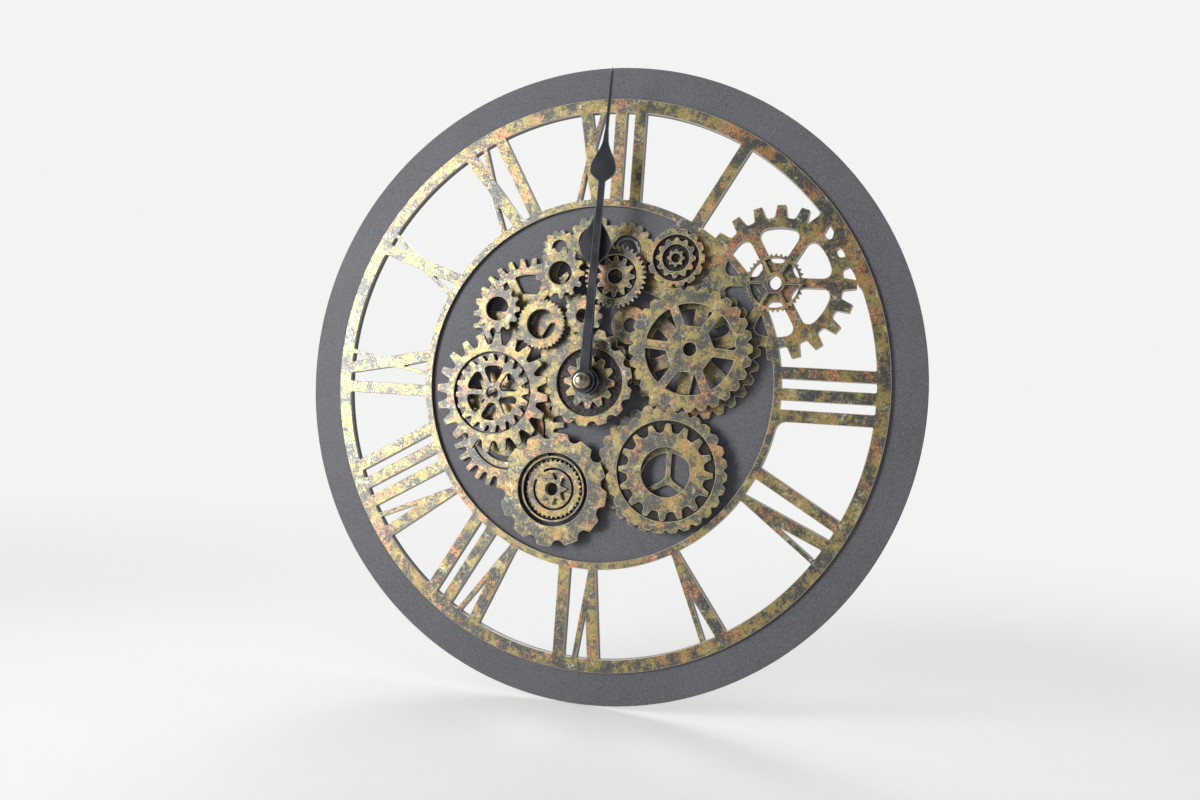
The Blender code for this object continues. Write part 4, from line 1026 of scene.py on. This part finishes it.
# Lower gear that lies flush in the dial's recess, and a thin spring ring, open at one side
LOWER_FLUSH_AT = (-46.1, -27.1)
CLIP = (5.4, 7.2, -60.0, 235.0, (12.0, 69.1))
CLIP_WIRE = 0.9


def meshed_phase(centre_a, teeth_a, phase_a, centre_b, teeth_b):
    """Phase that puts the teeth of gear b in the gaps of gear a."""
    towards_b = math.degrees(math.atan2(centre_b[1] - centre_a[1], centre_b[0] - centre_a[0]))
    share = ((towards_b - phase_a) * teeth_a / 360.0) % 1.0
    return towards_b + 180.0 - ((0.5 - share) % 1.0) * 360.0 / teeth_b


def lower_flush_gear(flat):
    phase = meshed_phase(UPPER_FLUSH_AT, FLUSH_TEETH, UPPER_PHASE, LOWER_FLUSH_AT, FLUSH_TEETH)
    toothed_edge(flat, FLUSH_TEETH, FLUSH_TIP, 25.7, 2.6, 3.6, phase, LOWER_FLUSH_AT)
    arc_slot(flat, 20.2, 21.2, 200.0, 500.0, LOWER_FLUSH_AT)
    arc_slot(flat, 14.0, 17.0, 185.0, 515.0, LOWER_FLUSH_AT)
    round_hole(flat, 4.0, LOWER_FLUSH_AT)


class CLOCK_OT_flush_gears(bpy.types.Operator):
    """Cut the two gears that lie flush in the dial's recess, and the clip beside them"""

    bl_idname = "clock.flush_gears"
    bl_label = "Flush gears"

    def execute(self, context):
        cut_piece("upper_flush_gear", gear_outline(*SPOKED_GEARS["upper_flush_gear"]))
        cut_piece("lower_flush_gear", lower_flush_gear)
        clip = sheet(lambda flat: arc_slot(flat, *CLIP), CLIP_WIRE, rim=0.15)
        stand(clip, depths("base_plate")[1])
        add_piece("clip_ring", clip, "steel")
        return {"FINISHED"}


class CLOCK_OT_spacers(bpy.types.Operator):
    """Cut the black spacers"""

    bl_idname = "clock.spacers"
    bl_label = "Spacers"

    def execute(self, context):
        for node, spec in SPACERS.items():
            cut_piece(node, ring_outline(*spec), SPACER_RIM)
        return {"FINISHED"}


# Hands, from the axis to the tip: length, foot, widest height and half width of the spade,
# neck, half width of the needle, half width of the stem, hub and bore radius
HOUR_HAND = (101.0, 59.0, 69.0, 8.2, 86.0, 0.9, 2.5, 6.5, 2.65)
MINUTE_HAND = (158.0, 100.0, 106.4, 6.7, 122.8, 0.85, 2.4, 6.0, 1.75)
MINUTE_LEAN = -1.4
# How far a spade's foot reaches out and up; shares of the stem, of the spade's lower and upper
# part and of the needle; length of the needle's point
SPADE_FOOT = (0.3, 1.2)
STEM_TAPER = 0.72
SWELL = 0.62
SHOULDER = 0.36
NECK_BEND = 0.42
NECK_WIDTH = 1.5
NEEDLE_FROM = 0.12
NEEDLE_TAPER = 0.7
NEEDLE_POINT = 3.0


def spade_hand(spec, lean):
    """A hand's outline: round hub, tapered stem, spade and needle."""
    length, foot, widest, half, neck, needle, stem, hub, bore = spec
    start = math.sqrt(hub * hub - stem * stem)
    narrow = STEM_TAPER * stem
    wide = NECK_WIDTH * needle
    above = neck - widest
    low = curve((narrow, foot), (narrow + SPADE_FOOT[0], foot + SPADE_FOOT[1]),
                (half, widest - SWELL * (widest - foot)), (half, widest))
    high = curve((half, widest), (half, widest + SHOULDER * above),
                 (wide, neck - NECK_BEND * above), (wide, neck))
    side = [(stem, start), *low, *high[1:], (needle, neck + NEEDLE_FROM * (length - neck)),
            (NEEDLE_TAPER * needle, length - NEEDLE_POINT)]
    ends = math.degrees(math.atan2(start, stem))

    def draw(flat):
        points = side + [(0.0, length)] + [(-x, y) for x, y in reversed(side)]
        points += arc(hub, 180.0 - ends, 360.0 + ends, 40)[1:-1]
        wire(flat, points)
        round_hole(flat, bore)
        bmesh.ops.rotate(flat, verts=flat.verts, cent=(0.0, 0.0, 0.0),
                         matrix=Matrix.Rotation(math.radians(lean), 3, "Z"))

    return draw


class CLOCK_OT_hands(bpy.types.Operator):
    """Cut the spade hands"""

    bl_idname = "clock.hands"
    bl_label = "Hands"

    def execute(self, context):
        rim = sizes().hand_rim / MM
        cut_piece("hour_hand", spade_hand(HOUR_HAND, 0.0), rim)
        cut_piece("minute_hand", spade_hand(MINUTE_HAND, MINUTE_LEAN), rim)
        return {"FINISHED"}


# Hub
CAP_R = 4.0
CAP_BORE = 1.75
CAP_KNURLS = 44
KNURL_RIB = 0.07
KNURL_DEPTH = 0.14
# Share of the cap's radius, and the drop below its top
CAP_DOME = [(0.0, 0.0), (0.30, 0.05), (0.55, 0.25), (0.70, 0.65), (0.76, 1.05)]
# Share of the height, then share of the radius and height above that
CAP_SHOULDER = 0.66
CAP_BROW = [(0.76, 0.25), (0.92, 0.12), (1.0, -0.2)]
# Depth of a groove, and its height above the cap's foot
CAP_GROOVES = [(0.0, 1.7), (0.35, 1.55), (0.35, 1.25), (0.0, 1.1), (0.0, 0.35), (0.35, 0.0)]
CAP_BORE_SHARE = 0.5
DRILL_POINT = 0.6
KNURLED_FROM = 0.95
NUT_ACROSS = 11.0
WASHER_R = 8.7


def cap_nut():
    """A knurled round nut with a raised dome, bored from behind."""
    back, front = depths("cap_nut")
    height = front - back
    shoulder = CAP_SHOULDER * height
    dome = [(share * CAP_R, height - drop) for share, drop in CAP_DOME]
    side = [(share * CAP_R, shoulder + above) for share, above in CAP_BROW]
    side += [(CAP_R - groove, above) for groove, above in CAP_GROOVES]
    drilled = CAP_BORE_SHARE * height
    bore = [(CAP_BORE, 0.0), (CAP_BORE, drilled), (0.0, drilled + DRILL_POINT)]
    solid = turned(dome + side + bore, CAP_KNURLS)
    knurled = [face for face in solid.faces if abs(face.normal.z) < 0.1
               and face.calc_center_median().xy.length > KNURLED_FROM * CAP_R]
    bmesh.ops.inset_individual(solid, faces=knurled, thickness=KNURL_RIB, depth=-KNURL_DEPTH)
    stands_for("cap_nut", solid, back)


def hex_outline(flat):
    outline(flat, [polar(NUT_ACROSS / math.sqrt(3.0), 60.0 * k) for k in range(6)], 0.25)
    round_hole(flat, HUB_HOLE)


class CLOCK_OT_hub(bpy.types.Operator):
    """Turn the cap nut and make the nut and washer under the hands"""

    bl_idname = "clock.hub"
    bl_label = "Hub"

    def execute(self, context):
        cap_nut()
        cut_piece("hex_nut", hex_outline, rim=0.35)
        cut_piece("dial_washer", ring_outline(WASHER_R, HUB_HOLE), rim=0.2)
        return {"FINISHED"}


# Movement, in the drawing plane; heights are in front of the wall
CASE_HALF = 28.0
CASE_WALL = 1.5
CASE_FRONT = 16.5
COVER = 1.5
CORNER = 2.6
BUSHING_R = 4.0
BUSHING_BORE = 2.8
THREAD_PITCH = 0.75
THREAD_DEPTH = 0.28
THREAD_END = 0.3
THREAD_FIRST = 0.35
THREAD_FLANK = 0.27
THREAD_CREST = 0.12
THREAD_RUNOUT = 0.8
CELL_R = 7.0
CELL_LENGTH = 47.2
# Radius, and height above the cell's shoulder or its foot
CELL_TOP = [(0.0, 1.2), (2.4, 1.2), (2.7, 0.9), (2.7, 0.1), (3.1, -0.15), (5.6, -0.15),
            (5.9, -0.02), (6.5, -0.02), (6.85, -0.2), (CELL_R, -0.6)]
CELL_FOOT = [(CELL_R, 0.6), (6.85, 0.2), (6.5, 0.02), (5.9, 0.02), (5.6, 0.2), (4.4, 0.2),
             (4.1, 0.0), (0.0, 0.0)]
CELL_AT = Vector((0.0, -7.6, 18.9))
BAY_LOW = 11.6
BAY_HIGH = 26.3
BAY_HALF = 25.7
KNOB = 1.8
MILLING = (40, 5.5, 5.25, 0.35, 0.55)
KNOB_DISH = (4.3, 1.6)
DISH_DEPTH = 0.3
STEM_R = 1.2
STEM_FOOT = 1.2
STEM_TOP = 13.1
PIVOT_R = 0.5
PIVOT_LOW = 13.4
SETTING_TEETH = (12, 4.76, 3.79, 0.3, 1.2)
SETTING_WHEEL = 1.2
SETTING_WHEEL_AT = 11.8
KNOB_AT = (-8.05, -19.3)
KNOB_HOLE = 5.9
LATCHES = (-17.0, 4.0)
LATCH_HALF = 2.6
LATCH_DEPTH = 1.3
HOOK_BACK = 0.35
HOOK_PLAY = 0.3
HOOK_INSETS = (1.0, 0.1)
HOOK_ROOT = 1.0
CASE_RIM = 0.6
RIB = 1.2
RIB_BACK = 3.8
# Overlap of joined solids, and thickness of a cutter or of its part outside the solid
BITE = 0.4
CUTTER = 1.0


def at_height(solid, low):
    bmesh.ops.translate(solid, verts=solid.verts, vec=(0.0, 0.0, low))
    return solid


def facing_back(solid, inner_face):
    """Turns a piece drawn as seen from behind, so its raised side looks back."""
    bmesh.ops.rotate(solid, verts=solid.verts, cent=(0.0, 0.0, 0.0),
                     matrix=Matrix.Rotation(math.pi, 3, "Y"))
    return at_height(solid, inner_face)


def square_outline(half, corner):
    return box_outline(-half, -half, half, half, corner)


def case_block(flat):
    square_outline(CASE_HALF, CORNER)(flat)
    round_hole(flat, (BUSHING_R + BUSHING_BORE) / 2.0)


def threaded_bushing(low, high):
    """A tube with a thread's crests and roots round it."""
    root = BUSHING_R - THREAD_DEPTH
    profile = [(BUSHING_BORE, low), (BUSHING_BORE, high - THREAD_END),
               (BUSHING_BORE + THREAD_END, high), (root - 0.1, high)]
    for k in range(int((high - CASE_FRONT - THREAD_RUNOUT) / THREAD_PITCH)):
        crest = high - THREAD_FIRST - k * THREAD_PITCH
        profile += [(root, crest + THREAD_FLANK), (BUSHING_R, crest),
                    (BUSHING_R, crest - THREAD_CREST),
                    (root, crest - THREAD_CREST - THREAD_FLANK)]
    profile += [(BUSHING_R, CASE_FRONT + THREAD_END), (BUSHING_R, low), (BUSHING_BORE, low)]
    return turned(profile, 56)


def movement_case():
    """An open box with a threaded bushing, a rib under the cell and four latch hooks."""
    back, front = depths("movement_case")
    inside = CASE_HALF - CASE_WALL
    floor = CASE_FRONT - CASE_WALL
    block = at_height(sheet(case_block, CASE_FRONT - back, CASE_RIM), back)
    room = square_outline(inside, CORNER - CASE_WALL)
    cavity = at_height(sheet(room, floor - back + CUTTER), back - CUTTER)
    rib = box_outline(-inside - BITE, BAY_LOW - RIB, inside + BITE, BAY_LOW)
    solids = [merged("movement_case", [block], [cavity]),
              at_height(sheet(rib, floor - RIB_BACK + BITE), RIB_BACK),
              threaded_bushing(floor + BITE / 2.0, front)]
    reach = LATCH_HALF - HOOK_PLAY
    near, far = (CASE_HALF - inset for inset in HOOK_INSETS)
    for left, right in ((-far, -near), (near, far)):
        for middle in LATCHES:
            hook = box_outline(left, middle - reach, right, middle + reach, 0.2)
            solids.append(at_height(sheet(hook, back + HOOK_ROOT - HOOK_BACK), HOOK_BACK))
    stands_for("movement_case", merged("movement_case", solids))


def cover_plate(flat):
    """The cover as seen from behind, with notches for the latches."""
    side = []
    notch = CASE_HALF - LATCH_DEPTH
    for middle in LATCHES:
        low, high = middle - LATCH_HALF, middle + LATCH_HALF
        side += [(CASE_HALF, low), (notch, low), (notch, high), (CASE_HALF, high)]
    corner = CASE_HALF - CORNER
    right = arc(CORNER, -90.0, 0.0, 6, (corner, -corner)) + side
    right += arc(CORNER, 0.0, 90.0, 6, (corner, corner))
    wire(flat, right + [(-x, y) for x, y in reversed(right)])
    box_outline(-BAY_HALF, BAY_LOW, BAY_HALF, BAY_HIGH, corner=0.8)(flat)
    round_hole(flat, KNOB_HOLE, (-KNOB_AT[0], KNOB_AT[1]))


# Marks on the cover, as seen from behind: polarity signs, the cell and its cap, a panel
SIGNS = [(-23.6, 6.55, -19.4, 7.45), (-21.95, 4.9, -21.05, 9.1), (19.4, 6.55, 23.6, 7.45)]
CELL_SIGN = [(-12.5, 4.4, 12.5, 9.6, 0.8), (-12.0, 4.9, 12.0, 9.1, 0.5)]
CAP_SIGN = (-14.0, 6.0, -12.2, 8.0)
PANEL = (-25.0, -25.0, -5.0, -12.5, 1.0)
DIMPLES = ((-24.0, 0.0), (24.0, 0.0), (24.0, -24.0), (0.0, -3.0))
DIMPLE_R = 1.4
ARROW = (8.1, 8.8, 20.0, 150.0)
ARROW_HEAD = (7.3, 9.6, 8.45)
ARROW_LEAN = 14.0
MARK_DEPTH = 0.28


def cover_marks():
    """Outlines of the shallow marks, with arrows round the knob."""
    knob = (-KNOB_AT[0], KNOB_AT[1])

    def cell(flat):
        for box in CELL_SIGN:
            box_outline(*box)(flat)

    draws = [box_outline(*sign) for sign in SIGNS]
    draws += [cell, box_outline(*CAP_SIGN), lambda flat: arc_slot(flat, *ARROW, knob)]
    for turn, lean in ((ARROW[2], -ARROW_LEAN), (ARROW[3], ARROW_LEAN)):
        inner, outer, point = ARROW_HEAD
        head = [polar(inner, turn, knob), polar(outer, turn, knob),
                polar(point, turn + lean, knob)]
        draws.append(lambda flat, head=head: outline(flat, head, 0.1))
    draws.append(box_outline(*PANEL))
    draws += [lambda flat, at=at: round_hole(flat, DIMPLE_R, at) for at in DIMPLES]
    return draws


def rear_cover():
    plate = sheet(cover_plate, COVER, rim=0.25)
    marks = [at_height(sheet(draw, CUTTER), COVER - MARK_DEPTH) for draw in cover_marks()]
    stands_for("rear_cover", facing_back(merged("rear_cover", [plate], marks), COVER))


# Corners of the hanger and its hole, across and above its foot
HANGER = [(-11.0, 0.0), (11.0, 0.0), (11.0, 3.0), (4.5, 13.5), (-4.5, 13.5), (-11.0, 3.0)]
HANGER_HOLE = [(-5.5, 4.0), (5.5, 4.0), (1.2, 11.0), (-1.2, 11.0)]
HANGER_FOOT = CASE_HALF + 0.3


def hanger_outline(flat):
    """A sloped plate with a hole that narrows upwards."""
    for corners, rounding in ((HANGER, 2.2), (HANGER_HOLE, 0.9)):
        outline(flat, [(across, HANGER_FOOT + up) for across, up in corners], rounding)


def setting_knob():
    """A milled knob on a stem, with the wheel that turns the hands at its inner end."""
    back, front = depths("setting_knob")
    knob = facing_back(sheet(lambda flat: toothed_edge(flat, *MILLING), KNOB, 0.2), back + KNOB)
    dish = at_height(sheet(ring_outline(*KNOB_DISH), CUTTER), back + DISH_DEPTH - CUTTER)
    foot = back + STEM_FOOT
    stem = turned([(0.0, foot), (STEM_R, foot), (STEM_R, STEM_TOP), (PIVOT_R, PIVOT_LOW),
                   (PIVOT_R, front), (0.0, front)], 28)
    wheel = sheet(lambda flat: toothed_edge(flat, *SETTING_TEETH), SETTING_WHEEL)
    solid = merged("setting_knob", [stem, knob, at_height(wheel, SETTING_WHEEL_AT)], [dish])
    bmesh.ops.translate(solid, verts=solid.verts, vec=(*KNOB_AT, 0.0))
    stands_for("setting_knob", solid)


def battery():
    """A cell with a rolled jacket edge at each end, a raised cap and a bead round its foot."""
    half = CELL_LENGTH / 2.0
    profile = [(radius, half + above) for radius, above in CELL_TOP]
    profile += [(CELL_R, 0.0)] + [(radius, above - half) for radius, above in CELL_FOOT]
    place = Matrix.Translation(CELL_AT * MM) @ Matrix.Rotation(math.pi / 2.0, 4, "Y")
    solid = turned(profile, 72)
    bmesh.ops.transform(solid, matrix=place @ Matrix.Scale(MM, 4), verts=solid.verts)
    add_piece("fine_battery", solid, "battery_jacket", BODY_OF["battery"], ("battery",))


class CLOCK_OT_movement(bpy.types.Operator):
    """Make the movement case, its cover, the hanger, the knob and the cell"""

    bl_idname = "clock.movement"
    bl_label = "Movement"

    def execute(self, context):
        movement_case()
        rear_cover()
        cut_piece("hanger", hanger_outline, rim=0.4)
        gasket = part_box("rubber_washer")[1].x / MM
        cut_piece("rubber_washer", ring_outline(gasket, HUB_HOLE), rim=0.15)
        setting_knob()
        battery()
        return {"FINISHED"}


# Pieces inside the case
WORKS = ("minute_arbor", "hour_wheel", "motion_wheel", "centre_wheel", "third_wheel",
         "second_wheel", "intermediate_wheel", "rotor", "stator", "coil", "circuit_board",
         "positive_contact", "negative_contact")


class CLOCK_OT_works(bpy.types.Operator):
    """Finish the wheels, coil, board and contacts inside the movement"""

    bl_idname = "clock.works"
    bl_label = "Works"

    def execute(self, context):
        for node in WORKS:
            carry_over(node, sizes().train_rim)
        return {"FINISHED"}


# Stage

CAMERA_AT = Vector((0.16642, -0.55111, -0.02190))
CAMERA_YAW = 0.29862
CAMERA_PITCH = 0.02415
CAMERA_ROLL = -0.07086
FLOOR_GAP = 0.0005
FLOOR_RADIUS = 6.0
FLOOR_FADE = (0.38, 1.4)
FLOOR_GLOW = 0.37
SOFT_LIGHT = 0.33
# Lights: place, height they aim at, setting of their power, width, height, spread in degrees
LIGHTS = {
    "key": ((-0.71, -0.93, 0.12), 0.0, "key_power", 0.44, 0.7, 70.0),
    "fill": ((0.9, -1.3, 0.7), 0.0, "fill_power", 1.0, 1.0, 180.0),
    "top": ((0.0, 0.3, 1.6), -0.1, "fill_power", 1.2, 1.2, 180.0),
    "back": ((-0.6, 1.3, 0.8), 0.0, "back_power", 0.8, 0.8, 90.0),
}


def floor_material(settings):
    """A pale matt floor that fades into the background far from the clock."""
    mixed = Recipe("floor")
    grain = mixed.noise(40.0, 4.0, 0.6)
    tone = mixed.mix(mixed.band(grain, 0.3, 0.7), shade(settings.floor, 0.985), settings.floor)
    glow = mixed.maths("MULTIPLY", mixed.rays()[1], FLOOR_GLOW)
    made = mixed.finish(Base_Color=tone, Roughness=0.8, Emission_Color=settings.floor,
                        Emission_Strength=glow)
    reach = mixed.node("VectorMath", "Value", {0: mixed.place}, operation="LENGTH")
    nearness = mixed.maths("DIVIDE", 1.0, reach)
    far = mixed.band(nearness, 1.0 / FLOOR_FADE[1], 1.0 / FLOOR_FADE[0], 1.0, 0.0)
    plain = mixed.node("Emission", "Emission", {"Color": settings.background})
    mixed.blend(far, mixed.shader.outputs["BSDF"], plain, "Material Output")
    return made


def add_floor(settings):
    flat = bmesh.new()
    low = Matrix.Translation((0.0, 0.0, CAD_BOX[0][2] - FLOOR_GAP))
    bmesh.ops.create_circle(flat, cap_ends=True, radius=FLOOR_RADIUS, segments=96, matrix=low)
    floor = object_of("floor", flat)
    floor.data.materials.append(floor_material(settings))


def add_light(name, place, aim, watts, width, height, spread):
    lamp = bpy.data.lights.new(name, "AREA")
    lamp.shape = "RECTANGLE"
    lamp.energy = watts
    lamp.spread = math.radians(spread)
    lamp.size = width
    lamp.size_y = height
    obj = linked(name, lamp)
    obj.location = place
    towards = Vector((0.0, 0.0, aim)) - Vector(place)
    obj.rotation_euler = towards.to_track_quat("-Z", "Y").to_euler()


def add_camera(lens):
    data = bpy.data.cameras.new("photo_camera")
    data.sensor_fit = "HORIZONTAL"
    data.sensor_width = 36.0
    data.lens = lens
    data.clip_start = 0.01
    turn = (Matrix.Rotation(CAMERA_YAW, 3, "Z") @ Matrix.Rotation(CAMERA_PITCH, 3, "X")
            @ Matrix.Rotation(CAMERA_ROLL, 3, "Y") @ Matrix.Rotation(math.pi / 2.0, 3, "X"))
    camera = linked("photo_camera", data)
    camera.matrix_world = Matrix.Translation(CAMERA_AT) @ turn.to_4x4()
    bpy.context.scene.camera = camera


def set_world(background):
    """Soft light all round; camera, glossy and transmission rays meet the pale background."""
    world = bpy.data.worlds.new("studio")
    bpy.context.scene.world = world
    world.use_nodes = True
    sky = Mixer(world.node_tree)
    soft = sky.tree.nodes["Background"]
    sky.put((1.0, 1.0, 1.0), soft.inputs["Color"])
    sky.put(SOFT_LIGHT, soft.inputs["Strength"])
    camera, seen = sky.rays()
    behind = sky.band(sky.axis(sky.direction, "Y"), -0.7, 0.1, 0.15, 0.9, "LINEAR")
    pale = sky.node("Background", "Background", {
        "Color": background, "Strength": sky.maths("MAXIMUM", camera, behind)})
    sky.blend(seen, soft.outputs["Background"], pale, "World Output")


class CLOCK_OT_stage(bpy.types.Operator):
    """Set the floor, the lights and the camera"""

    bl_idname = "clock.stage"
    bl_label = "Stage"

    def execute(self, context):
        settings = context.scene.clock_stage
        add_floor(settings)
        for name, (place, aim, source, *shape) in LIGHTS.items():
            add_light(name, place, aim, getattr(settings, source), *shape)
        set_world(settings.background)
        add_camera(settings.lens)
        context.scene.view_settings.view_transform = "Standard"
        return {"FINISHED"}


class CLOCK_PT_panel(bpy.types.Panel):
    """Pieces of the clock, in the order they are made"""

    bl_label = "Acrylic gear clock"
    bl_idname = "CLOCK_PT_panel"
    bl_space_type = "VIEW_3D"
    bl_region_type = "UI"
    bl_category = "Clock"

    def draw(self, context):
        for operator in OPERATORS:
            self.layout.operator(operator.bl_idname)
        for group in (sizes(), colours(), context.scene.clock_stage):
            column = self.layout.column()
            for name in group.__annotations__:
                column.prop(group, name)


OPERATORS = (CLOCK_OT_base_plate, CLOCK_OT_dial, CLOCK_OT_flush_gears, CLOCK_OT_raised_gears,
             CLOCK_OT_spacers, CLOCK_OT_hands, CLOCK_OT_hub, CLOCK_OT_movement, CLOCK_OT_works,
             CLOCK_OT_stage)
CLASSES = (ClockSizes, ClockColours, ClockStage, *OPERATORS, CLOCK_PT_panel)


def register():
    for cls in CLASSES:
        bpy.utils.register_class(cls)
    bpy.types.Scene.clock_sizes = bpy.props.PointerProperty(type=ClockSizes)
    bpy.types.Scene.clock_colours = bpy.props.PointerProperty(type=ClockColours)
    bpy.types.Scene.clock_stage = bpy.props.PointerProperty(type=ClockStage)


def unregister():
    del bpy.types.Scene.clock_stage
    del bpy.types.Scene.clock_colours
    del bpy.types.Scene.clock_sizes
    for cls in reversed(CLASSES):
        bpy.utils.unregister_class(cls)


def main():
    register()
    bpy.ops.clock.base_plate()
    bpy.ops.clock.dial()
    bpy.ops.clock.flush_gears()
    bpy.ops.clock.raised_gears()
    bpy.ops.clock.spacers()
    bpy.ops.clock.hands()
    bpy.ops.clock.hub()
    bpy.ops.clock.movement()
    bpy.ops.clock.works()
    bpy.ops.clock.stage()


if __name__ == "__main__":
    main()
